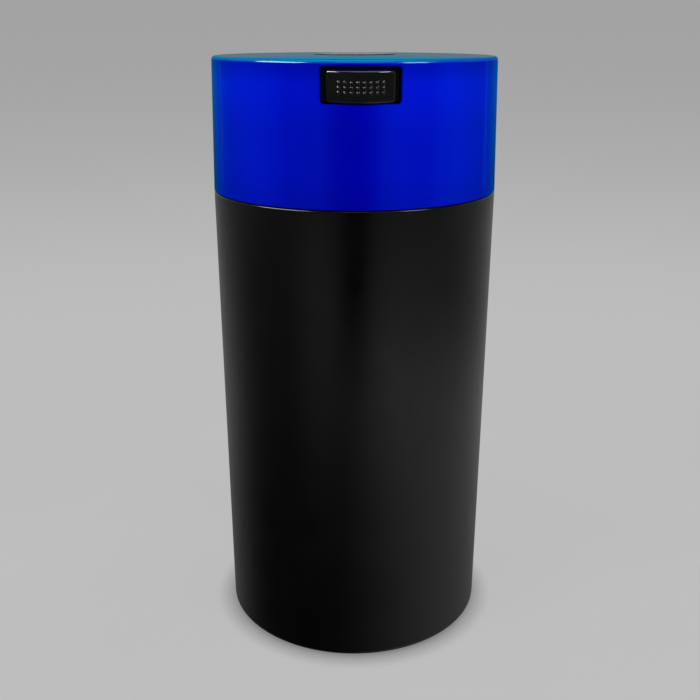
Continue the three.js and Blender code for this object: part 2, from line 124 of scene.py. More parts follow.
def rounded(points, closed=True, steps=5, longest=None):
    """A polyline with filleted corners, of (x, y) or (x, y, fillet). Long runs are divided."""
    corners = [np.array(p[:2], float) for p in points]
    fillets = [p[2] if len(p) > 2 else 0.0 for p in points]
    out, count = [], len(corners)
    for i, corner in enumerate(corners):
        if not closed and i in (0, count - 1):
            out.append(corner)
            continue
        out += corner_arc(corners[i - 1], corner, corners[(i + 1) % count], fillets[i], steps)
    if longest:
        dense, total = [], len(out)
        for i in range(total if closed else total - 1):
            a, b = out[i], out[(i + 1) % total]
            parts = max(1, int(math.ceil(np.linalg.norm(b - a) / longest)))
            dense += [a + (b - a) * j / parts for j in range(parts)]
        if not closed:
            dense.append(out[-1])
        out = dense
    return [tuple(p) for p in out]


def u_turn(half_x, start_y, back_y, fillet, steps):
    """From x = half_x back to back_y and across: the two filleted corners, without the ends."""
    path = [(half_x, start_y), (half_x, back_y, fillet), (-half_x, back_y, fillet), (-half_x, start_y)]
    return rounded(path, closed=False, steps=steps)[1:-1]


def counter_clockwise(outline):
    p = np.array(outline)
    q = np.roll(p, -1, axis=0)
    return outline if (p[:, 0] * q[:, 1] - q[:, 0] * p[:, 1]).sum() > 0 else outline[::-1]


def offset(outline, distance):
    """A counter-clockwise outline moved inwards."""
    p = np.array(outline, float)
    edge = np.roll(p, -1, axis=0) - p
    edge /= np.maximum(np.linalg.norm(edge, axis=1), 1e-9)[:, None]
    normal = np.stack([-edge[:, 1], edge[:, 0]], 1)
    previous = np.roll(normal, 1, axis=0)
    spread = 1 + (normal * previous).sum(1)
    return p + distance * (normal + previous) / np.maximum(spread, 0.3)[:, None]


def snap(share_x, share_z, half_x, half_z, radius):
    """A point on a rectangle's edge, in shares of -1..1, moved to the rounded rectangle's edge."""
    x, z = share_x * half_x, share_z * half_z
    corner_x, corner_z = half_x - radius, half_z - radius
    if abs(x) > corner_x and abs(z) > corner_z:
        dx, dz = abs(x) - corner_x, abs(z) - corner_z
        k = radius / math.hypot(dx, dz)
        return math.copysign(corner_x + dx * k, x), math.copysign(corner_z + dz * k, z)
    return x, z


# ------------------------------------------------------------------ meshes
class Shape:
    """Vertices in mm and faces, gathered into one mesh."""

    def __init__(self):
        self.verts, self.faces = [], []

    def ring(self, points):
        """Adds points and returns their numbers."""
        start = len(self.verts)
        self.verts += [tuple(p) for p in points]
        return list(range(start, len(self.verts)))

    def skin(self, rings, wrap=True):
        """Quads between each ring and the next."""
        for a, b in zip(rings, rings[1:]):
            count = len(a)
            for j in range(count if wrap else count - 1):
                k = (j + 1) % count
                self.faces.append((a[j], a[k], b[k], b[j]))

    def fan(self, ring, point):
        """Closes a ring with triangles to a new point."""
        centre = self.ring([point])[0]
        self.faces += [(a, b, centre) for a, b in zip(ring, ring[1:] + ring[:1])]

    def join(self, other):
        start = len(self.verts)
        self.verts += other.verts
        self.faces += [tuple(i + start for i in face) for face in other.faces]
        return self

    def moved(self, matrix):
        out = Shape()
        out.verts = [tuple(matrix @ Vector(p)) for p in self.verts]
        out.faces = self.faces
        return out

    def object(self, name, sharp=32, weighted=True):
        mesh = bpy.data.meshes.new(name)
        mesh.from_pydata([(x * MM, y * MM, z * MM) for x, y, z in self.verts], [], self.faces)
        bm = bmesh.new()
        bm.from_mesh(mesh)
        bmesh.ops.remove_doubles(bm, verts=bm.verts, dist=1e-7)
        bmesh.ops.dissolve_degenerate(bm, edges=bm.edges, dist=1e-8)
        bmesh.ops.recalc_face_normals(bm, faces=bm.faces)
        bm.to_mesh(mesh)
        bm.free()
        obj = bpy.data.objects.new(name, mesh)
        bpy.context.scene.collection.objects.link(obj)
        return finish(obj, sharp, weighted)

    def blank(self, name):
        """An object that is still to be joined to or cut."""
        return self.object(name, weighted=False)


def finish(obj, sharp=32, weighted=True):
    """Smooth shading with sharp edges above an angle in degrees."""
    obj.data.shade_smooth()
    obj.data.set_sharp_from_angle(angle=math.radians(sharp))
    if weighted:
        modifier = obj.modifiers.new("normals", "WEIGHTED_NORMAL")
        modifier.keep_sharp = True
        modifier.weight = 60
    return obj


def combine(obj, shape, operation):
    tool = shape.blank("tool")
    modifier = obj.modifiers.new("cut", "BOOLEAN")
    modifier.operation, modifier.object = operation, tool
    modifier.solver = "MANIFOLD"
    bpy.context.view_layer.update()
    depsgraph = bpy.context.evaluated_depsgraph_get()
    mesh = bpy.data.meshes.new_from_object(obj.evaluated_get(depsgraph), depsgraph=depsgraph)
    obj.modifiers.clear()
    obj.data = mesh
    bpy.data.objects.remove(tool)


def unite(obj, shape):
    combine(obj, shape, "UNION")


def cut(obj, shape):
    combine(obj, shape, "DIFFERENCE")


def lathe(profile, segs, steps=5, longest=None, at=(0, 0)):
    """A profile of (radius, z, fillet) turned about a vertical axis.

    A profile that starts on the axis also ends there. Any other is closed on itself.
    """
    shape, rings = Shape(), []
    closed = profile[0][0] > 0
    angles = [2 * math.pi * j / segs for j in range(segs)]
    for radius, z in rounded(profile, closed, steps, longest):
        turned = [0.0] if radius < 1e-6 else angles
        rings.append(shape.ring([(*around(a, radius, at=at), z) for a in turned]))
    following = rings[1:] + rings[:1] if closed else rings[1:]
    for a, b in zip(rings, following):
        for j in range(segs):
            k = (j + 1) % segs
            if len(a) == 1:
                shape.faces.append((a[0], b[k], b[j]))
            elif len(b) == 1:
                shape.faces.append((a[j], a[k], b[0]))
            else:
                shape.faces.append((a[j], a[k], b[k], b[j]))
    return shape


def rod(radius, z0, z1, segs, at=(0, 0)):
    return lathe([(0, z0), (radius, z0), (radius, z1), (0, z1)], segs, at=at)


def prism(outline, z0, z1, bevel, steps=3, holes=()):
    """An XY outline with holes, raised from z0 to z1, with rounded edges."""
    shape = Shape()
    levels = []
    for i in range(steps + 1):
        a = math.pi / 2 * i / steps
        levels.append((bevel * (1 - math.sin(a)), z0 + bevel * (1 - math.cos(a))))
    for i in range(steps + 1):
        a = math.pi / 2 * (1 - i / steps)
        levels.append((bevel * (1 - math.sin(a)), z1 - bevel * (1 - math.cos(a))))
    bottoms, tops = [], []
    for loop, sign in [(outline, 1)] + [(hole, -1) for hole in holes]:
        loop = counter_clockwise(loop)
        rings = [shape.ring([(x, y, z) for x, y in offset(loop, sign * inset)]) for inset, z in levels]
        shape.skin(rings)
        bottoms.append(rings[0])
        tops.append(rings[-1])
    for group in (bottoms, tops):
        flat = [i for ring in group for i in ring]
        loops = [[Vector((*shape.verts[i][:2], 0)) for i in ring] for ring in group]
        shape.faces += [tuple(flat[i] for i in face) for face in tessellate_polygon(loops)]
    return shape


def block(xs, ys, zs, radius, bevel, corner_steps=4, bevel_steps=2):
    """A box with rounded upright corners and rounded edges. xs may be in either order."""
    (x0, x1), (y0, y1) = sorted(xs), ys
    corners = [(x0, y0, radius), (x1, y0, radius), (x1, y1, radius), (x0, y1, radius)]
    return prism(rounded(corners, steps=corner_steps), *zs, bevel, bevel_steps)


def cross_arms(at, reach, half_width, zs, **rounding):
    """The two crossing bars of an upright cross."""
    x, y = at
    return [
        block((x - dx, x + dx), (y - dy, y + dy), zs, **rounding)
        for dx, dy in ((reach, half_width), (half_width, reach))
    ]


def coil(radius, length, turns, dead=1.2, ring=14, per_turn=48):
    """A compression spring along +Z from z = 0. Its ends are closed for about dead turns."""
    count = int(turns * per_turn)
    total = length - 2 * WIRE
    rate = []
    for i in range(count):
        t = (i + 0.5) / count * turns
        k = min(t, turns - t) / dead
        rate.append(0.18 + 0.82 * min(max((k - 0.65) / 0.7, 0), 1))
    z = np.concatenate([[0], np.cumsum(rate)])
    z = z / z[-1] * total + WIRE
    shape, rings = Shape(), []
    pace = radius * 2 * math.pi * turns / count
    for i in range(count + 1):
        a = 2 * math.pi * turns * i / count
        out = np.array([math.cos(a), math.sin(a), 0.0])
        rise = (z[min(i + 1, count)] - z[max(i - 1, 0)]) / (2 if 0 < i < count else 1)
        along = np.array([-math.sin(a) * pace, math.cos(a) * pace, rise])
        along /= np.linalg.norm(along)
        up = np.cross(out, along)
        centre = out * radius + np.array([0, 0, z[i]])
        section = [2 * math.pi * j / ring for j in range(ring)]
        points = [centre + WIRE * (out * math.cos(b) + up * math.sin(b)) for b in section]
        rings.append(shape.ring(points))
    shape.skin(rings)
    shape.faces += [tuple(rings[0]), tuple(rings[-1])]
    return shape


# ------------------------------------------------------------------ shader nodes
def mm(*lengths):
    return tuple(v * MM for v in lengths)


class Nodes:
    """A node tree with short ways to add nodes. Positions are in metres."""

    def __init__(self, owner, output="ShaderNodeOutputMaterial", space="Object"):
        self.owner = owner
        owner.use_nodes = True
        self.tree = owner.node_tree
        self.tree.nodes.clear()
        self.out = self.node(output)
        self.pos = self.node("ShaderNodeTexCoord").outputs[space]

    def node(self, kind, props=None, **inputs):
        """A node with its properties set and its inputs given by name."""
        node = self.tree.nodes.new(kind)
        for key, value in (props or {}).items():
            setattr(node, key, value)
        for key, value in inputs.items():
            self.link(value, node.inputs[key.replace("_", " ")])
        return node

    def link(self, value, socket):
        if hasattr(value, "is_output"):
            self.tree.links.new(value, socket)
        elif socket.type == "RGBA" and len(value) == 3:
            socket.default_value = (*value, 1)
        else:
            socket.default_value = value

    def noise(self, scale, detail=3.0, rough=0.5, stretch=None):
        src = self.pos
        if stretch:
            src = self.node("ShaderNodeMapping", Scale=stretch, Vector=src).outputs["Vector"]
        return self.node(
            "ShaderNodeTexNoise", Scale=scale, Detail=detail, Roughness=rough, Vector=src
        ).outputs["Fac"]

    def ramp(self, fac, stops):
        """stops are (position, grey) or (position, (r, g, b))."""
        node = self.node("ShaderNodeValToRGB", Fac=fac)
        elements = node.color_ramp.elements
        while len(elements) < len(stops):
            elements.new(0.5)
        for element, (position, color) in zip(elements, stops):
            element.position = position
            grey = isinstance(color, (int, float))
            element.color = (color, color, color, 1) if grey else (*color, 1)
        return node.outputs["Color"]

    def math(self, op, a, b=0.0, c=0.0, clamp=False):
        node = self.node("ShaderNodeMath", {"operation": op, "use_clamp": clamp})
        for value, socket in zip((a, b, c), node.inputs):
            self.link(value, socket)
        return node.outputs[0]

    def times(self, first, *others):
        for other in others:
            first = self.math("MULTIPLY", first, other)
        return first

    def vector(self, op, *values, out="Vector", **inputs):
        node = self.node("ShaderNodeVectorMath", {"operation": op}, **inputs)
        for value, socket in zip(values, node.inputs):
            self.link(value, socket)
        return node.outputs[out]

    def level(self, direction):
        """A direction laid flat."""
        return self.vector("NORMALIZE", self.vector("MULTIPLY", direction, (1, 1, 0)))

    def split(self, vector):
        return tuple(self.node("ShaderNodeSeparateXYZ", Vector=vector).outputs)

    def remap(self, value, over, to=(0.0, 1.0), smooth=False):
        """Carries the range over to the range to, and holds the ends."""
        return self.node(
            "ShaderNodeMapRange",
            {"interpolation_type": "SMOOTHSTEP" if smooth else "LINEAR"},
            Value=value, From_Min=over[0], From_Max=over[1], To_Min=to[0], To_Max=to[1],
        ).outputs["Result"]

    def mix(self, fac, a, b):
        node = self.node("ShaderNodeMix", {"data_type": "RGBA"})
        for value, i in ((fac, 0), (a, 6), (b, 7)):  # 6 and 7 are the colour inputs
            self.link(value, node.inputs[i])
        return node.outputs[2]

    def bump(self, height, strength, distance, **normal):
        """distance is in mm."""
        return self.node(
            "ShaderNodeBump", Strength=strength, Distance=distance * MM, Height=height, **normal
        ).outputs["Normal"]

    def scratches(self, scale, density=0.018):
        """Thin straight rub marks, 0 to 1.

        They are the crests of noise stretched at two slants, thinned out by a patchy noise.
        """
        lines = []
        for turn, seed in ((0.35, 3.1), (-1.1, 7.7)):
            mapping = self.node(
                "ShaderNodeMapping",
                Rotation=(turn * 0.7, turn, turn * 1.3),
                Location=(seed, seed * 2, seed * 3),
                Scale=(scale * 14, scale * 0.55, scale * 14),
                Vector=self.pos,
            )
            noise = self.node(
                "ShaderNodeTexNoise", Scale=1.0, Detail=1.0, Vector=mapping.outputs["Vector"]
            )
            off = self.math("ABSOLUTE", self.math("SUBTRACT", noise.outputs["Fac"], 0.5))
            lines.append(self.remap(off, over=(0.0, density), to=(1.0, 0.0)))
        patch = self.remap(self.noise(scale=26.0, detail=2.0), over=(0.5, 0.68))
        return self.times(self.math("MAXIMUM", *lines), patch)

    def normal(self):
        return self.node("ShaderNodeNewGeometry").outputs["Normal"]

    def edges(self):
        """1 on convex edges, from the mesh's own curvature."""
        geometry = self.node("ShaderNodeNewGeometry")
        return self.remap(geometry.outputs["Pointiness"], over=(0.515, 0.6))

    def principled(self, color, rough, **more):
        return self.node(
            "ShaderNodeBsdfPrincipled", Base_Color=color, Roughness=rough, **more
        ).outputs[0]

    def blend(self, fac, first, second):
        node = self.node("ShaderNodeMixShader")
        for value, socket in zip((fac, first, second), node.inputs):
            self.link(value, socket)
        return node.outputs[0]

    def done(self, shader):
        self.link(shader, self.out.inputs["Surface"])
        return self.owner


def new_material(name):
    return Nodes(bpy.data.materials.new(name))


# ------------------------------------------------------------------ the cap's blue plastic
# brightness up the wall, painted light and shade: share of the height, factor
WALL_HEIGHT_LIGHT = [
    (0.0, 0.82), (0.085, 0.868), (0.247, 0.972), (0.409, 0.989), (0.53, 1.002), (0.612, 1.06),
    (0.692, 1.13), (0.814, 1.21), (0.856, 1.14), (0.896, 1.007), (0.936, 0.87), (1.0, 0.85),
]
# colour round the wall as seen from the viewer, the plastic's blue with painted light bands from the
# side lamps: place from the left limb (-1) to the right (1), green, blue
WALL_RED = 0.0004
WALL_BLUE_AND_SIDE_LIGHT = [
    (-1, 0.0621, 0.274), (-0.975, 0.0285, 0.346), (-0.945, 0.0126, 0.389), (-0.88, 0.008, 0.417),
    (-0.8, 0.0071, 0.449), (-0.72, 0.0065, 0.46), (-0.65, 0.0065, 0.453), (-0.57, 0.0052, 0.414),
    (-0.5, 0.0038, 0.387), (-0.42, 0.0036, 0.38), (-0.34, 0.0038, 0.376), (-0.26, 0.0038, 0.364),
    (-0.19, 0.0023, 0.331), (-0.11, 0.001, 0.308), (-0.02, 0.0004, 0.301), (0.07, 0.0006, 0.327),
    (0.15, 0.0021, 0.36), (0.23, 0.005, 0.404), (0.33, 0.0054, 0.424), (0.43, 0.0053, 0.458),
    (0.52, 0.005, 0.473), (0.6, 0.0073, 0.495), (0.68, 0.0082, 0.485), (0.75, 0.008, 0.466),
    (0.83, 0.0084, 0.452), (0.9, 0.0086, 0.419), (0.945, 0.0112, 0.405), (0.975, 0.025, 0.358),
    (1, 0.0571, 0.289),
]
# painted light on the top edge: its colour by the normal's upward part, teal as it turns up, on the
# right and on the left, greener on the left towards the key lamp
RIM_LIGHT_RIGHT = [
    (0.0, (0.0005, 0.012, 0.44)), (0.30, (0.0005, 0.020, 0.42)), (0.50, (0.0008, 0.050, 0.30)),
    (0.75, (0.0020, 0.090, 0.24)), (1.0, (0.003, 0.14, 0.28)),
]
RIM_LIGHT_LEFT = [
    (0.0, (0.0005, 0.012, 0.43)), (0.30, (0.0005, 0.030, 0.38)), (0.50, (0.0008, 0.100, 0.26)),
    (0.75, (0.0010, 0.180, 0.24)), (0.93, (0.0012, 0.215, 0.26)), (1.0, (0.003, 0.14, 0.28)),
]
# tint of the gloss by how much the surface turns away from the viewer
WALL_SHEEN = [
    (0.0, (0.02, 0.14, 1.0)), (0.55, (0.005, 0.12, 0.95)), (0.90, (0.01, 0.25, 0.60)),
    (0.955, (0.01, 0.45, 0.80)), (1.0, (0.06, 0.50, 0.78)),
]
TOP_SHEEN = [
    (0.9475, (0.02, 0.50, 0.72)), (0.9545, (0.035, 0.58, 0.78)), (0.9585, (0.10, 0.55, 0.67)),
    (0.9635, (0.22, 0.44, 0.60)), (0.9684, (0.31, 0.46, 0.54)), (0.975, (0.345, 0.45, 0.53)),
    (0.9825, (0.39, 0.43, 0.45)), (0.992, (0.437, 0.46, 0.45)),
]
# the dimmed area round the opening is painted shade
SHADE_Z, SHADE_HALF_Z = 257.05, 7.05  # middle and half height of the dimmed area round the opening


def wall_color(mat, geometry, side, z, cloud):
    """The wall's colour by place round it and height, which carry painted light and shade, with faint
    clouds and upright streaks.
    """
    # painted light and shade by height, then painted light bands round the wall
    height = mat.ramp(mat.remap(z, over=mm(209.0, TOP_Z)), WALL_HEIGHT_LIGHT)
    streak = mat.noise(scale=160.0, detail=2.0, stretch=(1, 1, 0.06))
    stops = [((1 + at) / 2, (WALL_RED, green, blue)) for at, green, blue in WALL_BLUE_AND_SIDE_LIGHT]
    color = mat.ramp(mat.remap(side, over=(-1.0, 1.0)), stops)
    uneven = mat.math("ADD", mat.times(cloud, 0.6), mat.times(streak, 0.4))
    uneven = mat.remap(uneven, over=(0.35, 0.65), to=(0.93, 1.07))
    return mat.vector("SCALE", color, Scale=mat.times(height, uneven))


def opening_shade(mat, x, y, z):
    """Masks of painted shade: one for the opening's turned-in edge and one for the strip just over it.
    """

    def beyond(value, centre, half):
        away = mat.math("ABSOLUTE", mat.math("SUBTRACT", value, centre))
        return mat.math("MAXIMUM", mat.math("SUBTRACT", away, half), 0.0)

    def at_front():
        return mat.remap(y, over=(-0.0560, -0.0585))

    dx = beyond(x, 0.0, (WIN_X - WIN_R) * MM)
    dz = beyond(z, SHADE_Z * MM, (SHADE_HALF_Z - WIN_R) * MM)
    away = mat.math("SQRT", mat.math("ADD", mat.times(dx, dx), mat.times(dz, dz)))
    edge = mat.remap(away, over=mm(1.45, 1.78), to=(1.0, 0.0), smooth=True)
    edge = mat.times(edge, at_front())

    rise = mat.remap(z, over=mm(263.25, 264.80))
    over = mat.math("SUBTRACT", 1.0, mat.math("POWER", rise, 1.5))
    width = mat.math("ABSOLUTE", x)
    width = mat.remap(width, over=mm(16.8, 14.6), to=(0.0, 0.93), smooth=True)
    over = mat.times(over, mat.times(width, at_front()))
    return edge, mat.times(over, mat.remap(z, over=mm(262.9, 263.15)))


def blue_plastic():
    """Deep blue moulded plastic: the colour sits inside the wall, under a clear tinted gloss.

    Painted light makes it brighten towards the sides and the top and turn teal at the top edge;
    painted shade darkens it round the opening.
    """
    mat = new_material("cap_blue_plastic")
    geometry = mat.node("ShaderNodeNewGeometry").outputs
    x, y, z = mat.split(mat.pos)
    up = mat.split(geometry["Normal"])[2]
    # how far round the wall from the viewer, -1 at the left limb and 1 at the right
    across = mat.vector("CROSS_PRODUCT", (0, 0, 1), mat.level(geometry["Incoming"]))
    side = mat.vector("DOT_PRODUCT", mat.level(geometry["Normal"]), across, out="Value")

    cloud = mat.noise(scale=30.0, detail=2.0, stretch=(1, 1, 0.3))
    wave = mat.bump(cloud, strength=0.10, distance=0.5)
    grain = mat.noise(scale=1500.0, detail=2.0)
    peel = mat.bump(grain, strength=0.03, distance=0.05, Normal=wave)
    marks = mat.scratches(scale=45.0)
    scar = mat.bump(mat.times(marks, -1.0), strength=0.05, distance=0.03, Normal=peel)

    wall = wall_color(mat, geometry, side, z, cloud)
    # painted light: the top edge turns teal, greener on the viewer's left
    to_right = mat.remap(side, over=(0.0, 0.75), to=(1.0, 0.0))
    rim = mat.mix(to_right, mat.ramp(up, RIM_LIGHT_RIGHT), mat.ramp(up, RIM_LIGHT_LEFT))
    crest = mat.remap(z, over=mm(264.5, 264.85))
    base = mat.mix(mat.times(crest, mat.remap(up, over=(0.02, 0.12), smooth=True)), wall, rim)
    # the painted teal light on the top gives way to the plastic's own blue as it is seen less at a
    # slant
    facing = mat.node("ShaderNodeLayerWeight", Blend=0.5).outputs["Facing"]
    steep = mat.times(
        mat.remap(facing, over=(0.70, 0.93), to=(1.0, 0.0), smooth=True),
        mat.remap(up, over=(0.75, 0.95), smooth=True),
    )
    cloudy = mat.remap(cloud, over=(0.35, 0.65))
    own_blue = mat.mix(cloudy, (0.0005, 0.012, 0.33), (0.0007, 0.017, 0.39))
    base = mat.mix(steep, base, own_blue)
    # painted shade: the blue darkens to navy on the opening's turned-in edge and on the strip just
    # over it
    edge, over = opening_shade(mat, x, y, z)
    base = mat.mix(mat.times(edge, 0.93), base, (0.0002, 0.0006, 0.035))
    base = mat.mix(over, base, (0.0002, 0.0006, 0.012))
    base = mat.mix(mat.times(marks, 0.10), base, (0.004, 0.03, 0.50))
    inner_rough = mat.remap(cloud, over=(0.3, 0.7), to=(0.36, 0.46))
    inner = mat.principled(base, inner_rough, Specular_IOR_Level=0.0, Normal=wave)

    sheen = mat.mix(
        mat.remap(up, over=(0.80, 0.95), smooth=True),
        mat.ramp(facing, WALL_SHEEN),
        mat.ramp(facing, TOP_SHEEN),
    )
    # the rounded top edge shines green
    lip = mat.times(
        mat.remap(up, over=(0.06, 0.24), smooth=True),
        mat.remap(up, over=(0.48, 0.70), to=(1.0, 0.0), smooth=True),
        crest,
        mat.remap(facing, over=(0.44, 0.60), to=(1.0, 0.15)),
    )
    tint = mat.mix(lip, sheen, (0.60, 1.08, 0.58))
    # painted shade in the gloss on the opening's turned-in edge
    tint = mat.mix(mat.times(edge, 0.85), tint, (0.01, 0.02, 0.12))
    smear = mat.noise(scale=55.0, detail=4.0, rough=0.6)
    smear = mat.remap(smear, over=(0.3, 0.7), to=(0.07, 0.13))
    gloss = mat.node(
        "ShaderNodeBsdfAnisotropic",
        Color=tint,
        Roughness=mat.math("ADD", smear, mat.times(marks, 0.12)),
        Normal=scar,
    ).outputs[0]
    fresnel = mat.node("ShaderNodeFresnel", IOR=1.46, Normal=peel).outputs["Fac"]
    lip_gain = mat.math("MULTIPLY_ADD", lip, 0.3, 1.0)
    return mat.done(mat.blend(mat.math("MULTIPLY", fresnel, lip_gain, clamp=True), inner, gloss))


# ------------------------------------------------------------------ the other materials
def painted_button_glow(mat):
    """Painted glow: an emission on the button's upward faces stands in for the blue light that comes
    through the cap.
    """
    _, y, z = mat.split(mat.pos)
    up = mat.split(mat.normal())[2]
    painted_glow = mat.times(
        mat.remap(z, over=mm(262.0, 262.5)),
        mat.remap(up, over=(0.90, 0.99)),
        mat.remap(y, over=(-0.0640, -0.0605), smooth=True),
    )
    return {"Emission_Color": (0.012, 0.03, 1.0), "Emission_Strength": mat.times(painted_glow, 0.055)}


def black_plastic(name, tone, rough, peel=0.05, marks=0.10, rub=0.5, spec=0.4, painted_glow=False):
    """Moulded black plastic.

    peel is the depth of the fine grain, marks the roughness of scratches, rub the edges' wear.
    """
    mat = new_material(name)
    cloud = mat.noise(scale=28.0, rough=0.55)
    scratch = mat.scratches(scale=40.0)
    edge = mat.edges()
    dark = tuple(tone * k for k in (0.85, 0.85, 0.88))
    pale = tuple(tone * k for k in (1.25, 1.25, 1.22))
    base = mat.mix(mat.remap(cloud, over=(0.3, 0.7)), dark, pale)
    base = mat.mix(mat.times(scratch, 0.09), base, (tone * 3 + 0.008,) * 3)
    base = mat.mix(mat.times(edge, rub * 0.5), base, (tone * 3 + 0.012,) * 3)
    smear = mat.noise(scale=60.0, detail=4.0, rough=0.6)
    smear = mat.remap(smear, over=(0.3, 0.7), to=(rough - 0.045, rough + 0.055))
    roughness = mat.math("ADD", smear, mat.times(scratch, marks))
    roughness = mat.math("ADD", roughness, mat.times(edge, 0.08), clamp=True)
    wave = mat.noise(scale=24.0, detail=2.0, stretch=(1, 1, 0.3))
    normal = mat.bump(wave, strength=0.06, distance=0.5)
    grain = mat.noise(scale=1400.0, detail=2.0)
    normal = mat.bump(grain, strength=peel, distance=0.05, Normal=normal)
    normal = mat.bump(mat.times(scratch, -1.0), strength=0.07, distance=0.03, Normal=normal)
    # painted glow: emission on the button's upward faces in place of light through the cap
    more = painted_button_glow(mat) if painted_glow else {}
    return mat.done(
        mat.principled(base, roughness, Specular_IOR_Level=spec, Normal=normal, **more)
    )


def soft(name, low, high, rough, sub=0.0, grain=700.0, strength=0.12, spec=0.35):
    """Rubber, silicone or dull plastic, clouded between two colours. sub is the light let in."""
    mat = new_material(name)
    cloud = mat.noise(scale=90.0, detail=4.0, rough=0.6)
    base = mat.mix(mat.remap(cloud, over=(0.3, 0.7)), low, high)
    worn = tuple(min(1.0, c * 1.5 + 0.01) for c in high)
    base = mat.mix(mat.times(mat.edges(), 0.3), base, worn)
    normal = mat.bump(mat.noise(scale=grain), strength=strength, distance=0.06)
    more = {}
    if sub:
        more = {"Subsurface_Weight": sub, "Subsurface_Radius": (0.0016, 0.0014, 0.0012)}
    smear = mat.remap(mat.noise(scale=150.0), over=(0.3, 0.7), to=(rough - 0.06, rough + 0.06))
    return mat.done(mat.principled(base, smear, Specular_IOR_Level=spec, Normal=normal, **more))


def metal(name, color, rough, stretch=(1, 1, 1), scale=600.0, strength=0.06, side=None):
    """Brushed metal. side is the colour of faces that don't look up, a painted shade."""
    mat = new_material(name)
    cloud = mat.remap(mat.noise(scale=120.0), over=(0.35, 0.65))
    base = mat.mix(cloud, tuple(c * 0.82 for c in color), color)
    # painted shade: faces that don't look up are darkened to the side colour
    if side:
        up = mat.split(mat.normal())[2]
        base = mat.mix(mat.remap(up, over=(0.45, 0.90), to=(1.0, 0.0)), base, side)
    streak = mat.noise(scale=scale, rough=0.6, stretch=stretch)
    roughness = mat.remap(streak, over=(0.3, 0.7), to=(rough - 0.07, rough + 0.1))
    normal = mat.bump(streak, strength=strength, distance=0.03)
    return mat.done(mat.principled(base, roughness, Metallic=1.0, Normal=normal))


MAT = {
    "cap_blue": blue_plastic(),
    "body_black": black_plastic(
        "cup_black_plastic", tone=0.0005, rough=0.16, peel=0.03, marks=0.02, rub=0.3, spec=0.5
    ),
    "inner_black": black_plastic(
        "inner_black_plastic", tone=0.011, rough=0.38, peel=0.10, marks=0.05, spec=0.35
    ),
    "plate_black": black_plastic(
        "plate_black_plastic", tone=0.014, rough=0.42, peel=0.14, marks=0.05, spec=0.35
    ),
    # the button's plastic carries a painted blue glow
    "button_black": black_plastic(
        "button_black_plastic", tone=0.0026, rough=0.13, peel=0.02, marks=0.04, spec=0.95, painted_glow=True
    ),
    "gasket_rubber": soft(
        "gasket_rubber", low=(0.012, 0.012, 0.013), high=(0.022, 0.022, 0.023), rough=0.72
    ),
    "seal_silicone": soft(
        "seal_silicone", low=(0.50, 0.52, 0.52), high=(0.64, 0.65, 0.64), rough=0.34,
        sub=0.35, grain=900.0, strength=0.05, spec=0.45,
    ),
    "poppet_plastic": soft(
        "poppet_acetal", low=(0.60, 0.585, 0.53), high=(0.70, 0.685, 0.63), rough=0.38,
        sub=0.15, grain=900.0, strength=0.04, spec=0.45,
    ),
    # the badge's sides carry painted shade
    "badge_foil": metal(
        "badge_satin_foil", color=(0.26, 0.24, 0.245), rough=0.50, stretch=(0.15, 8, 1),
        scale=420.0, strength=0.10, side=(0.012, 0.018, 0.025),
    ),
    "spring_steel": metal(
        "spring_wire", color=(0.60, 0.61, 0.63), rough=0.24, scale=900.0, strength=0.05
    ),
    "screw_steel": metal("screw_zinc", color=(0.66, 0.67, 0.68), rough=0.27, scale=800.0),
}


def place(obj, body, slot, *nodes):
    """Gives a piece its material and tells the frame what it rides on and replaces."""
    obj.data.materials.clear()
    obj.data.materials.append(MAT[slot])
    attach(obj, body)
    if nodes:
        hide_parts(*nodes)


# ------------------------------------------------------------------ cup, neck and lip seal
CUP = [
    (0, 2.15), (2.3, 2.15, 0.3), (2.9, 1.8, 0.3), (50.6, 1.8, 0.9), (52.2, 0.0, 0.45),
    (R_FOOT, 0.0, 3.0), (R_SEAM, SEAM_Z, 0.55), (R_SEAM - 2.6, SEAM_Z, 0.4),
    (R_FOOT - 2.5, 4.6, 3.4), (0, 4.6),
]
NECK = [
    (56.2, 193.5, 0.6), (60.35, 193.5, 0.9), (60.35, 212.5, 0.6), (58.6, 212.5, 0.35),
    (58.6, 232.6, 0.15), (57.5, 232.6, 0.12), (57.5, 238.8, 0.12), (58.5, 238.8, 0.15),
    (58.5, 241.5, 0.8), (56.2, 241.5, 0.6),
]
LIP_SEAL = [
    (57.7, 232.8, 0.25), (58.95, 232.8, 0.25), (58.95, 233.7, 0.3), (60.25, 234.95, 0.12),
    (60.25, 235.3, 0.12), (58.95, 234.85, 0.35), (58.95, 236.5, 0.3), (60.25, 237.75, 0.12),
    (60.25, 238.1, 0.12), (58.95, 237.65, 0.3), (58.95, 238.6, 0.25), (57.7, 238.6, 0.25),
]
cup = lathe(CUP, SEGS, steps=7, longest=9.0).object("cup_shell")
place(cup, "canister", "body_black", "body_shell")
neck = lathe(NECK, SEGS, steps=4, longest=6.0).object("neck_ring_sleeve")
place(neck, "canister", "inner_black", "neck_sleeve")
lip_seal = lathe(LIP_SEAL, SEGS, steps=4).object("neck_lip_seal")
place(lip_seal, "neck_ring", "seal_silicone", "neck_seal")


# ------------------------------------------------------------------ cap
def taper(z, low, high):
    """Radius at z on the line between two (radius, z)."""
    return low[0] + (high[0] - low[0]) * (z - low[1]) / (high[1] - low[1])


def cap_out(z):
    return taper(z, (R_SEAM, CAP_Z0), (R_TOP, TOP_Z))


def cap_in(z):
    return taper(z, (61.1, 209.95), (60.0, 264.0))


def crowned(x, y, rise=0.0):
    """A point on the crowned top, raised by rise."""
    radius = math.hypot(x, y)
    return x, y, TOP_Z + CROWN * (1 - (radius / (R_TOP - CAP_EDGE)) ** 2) + rise


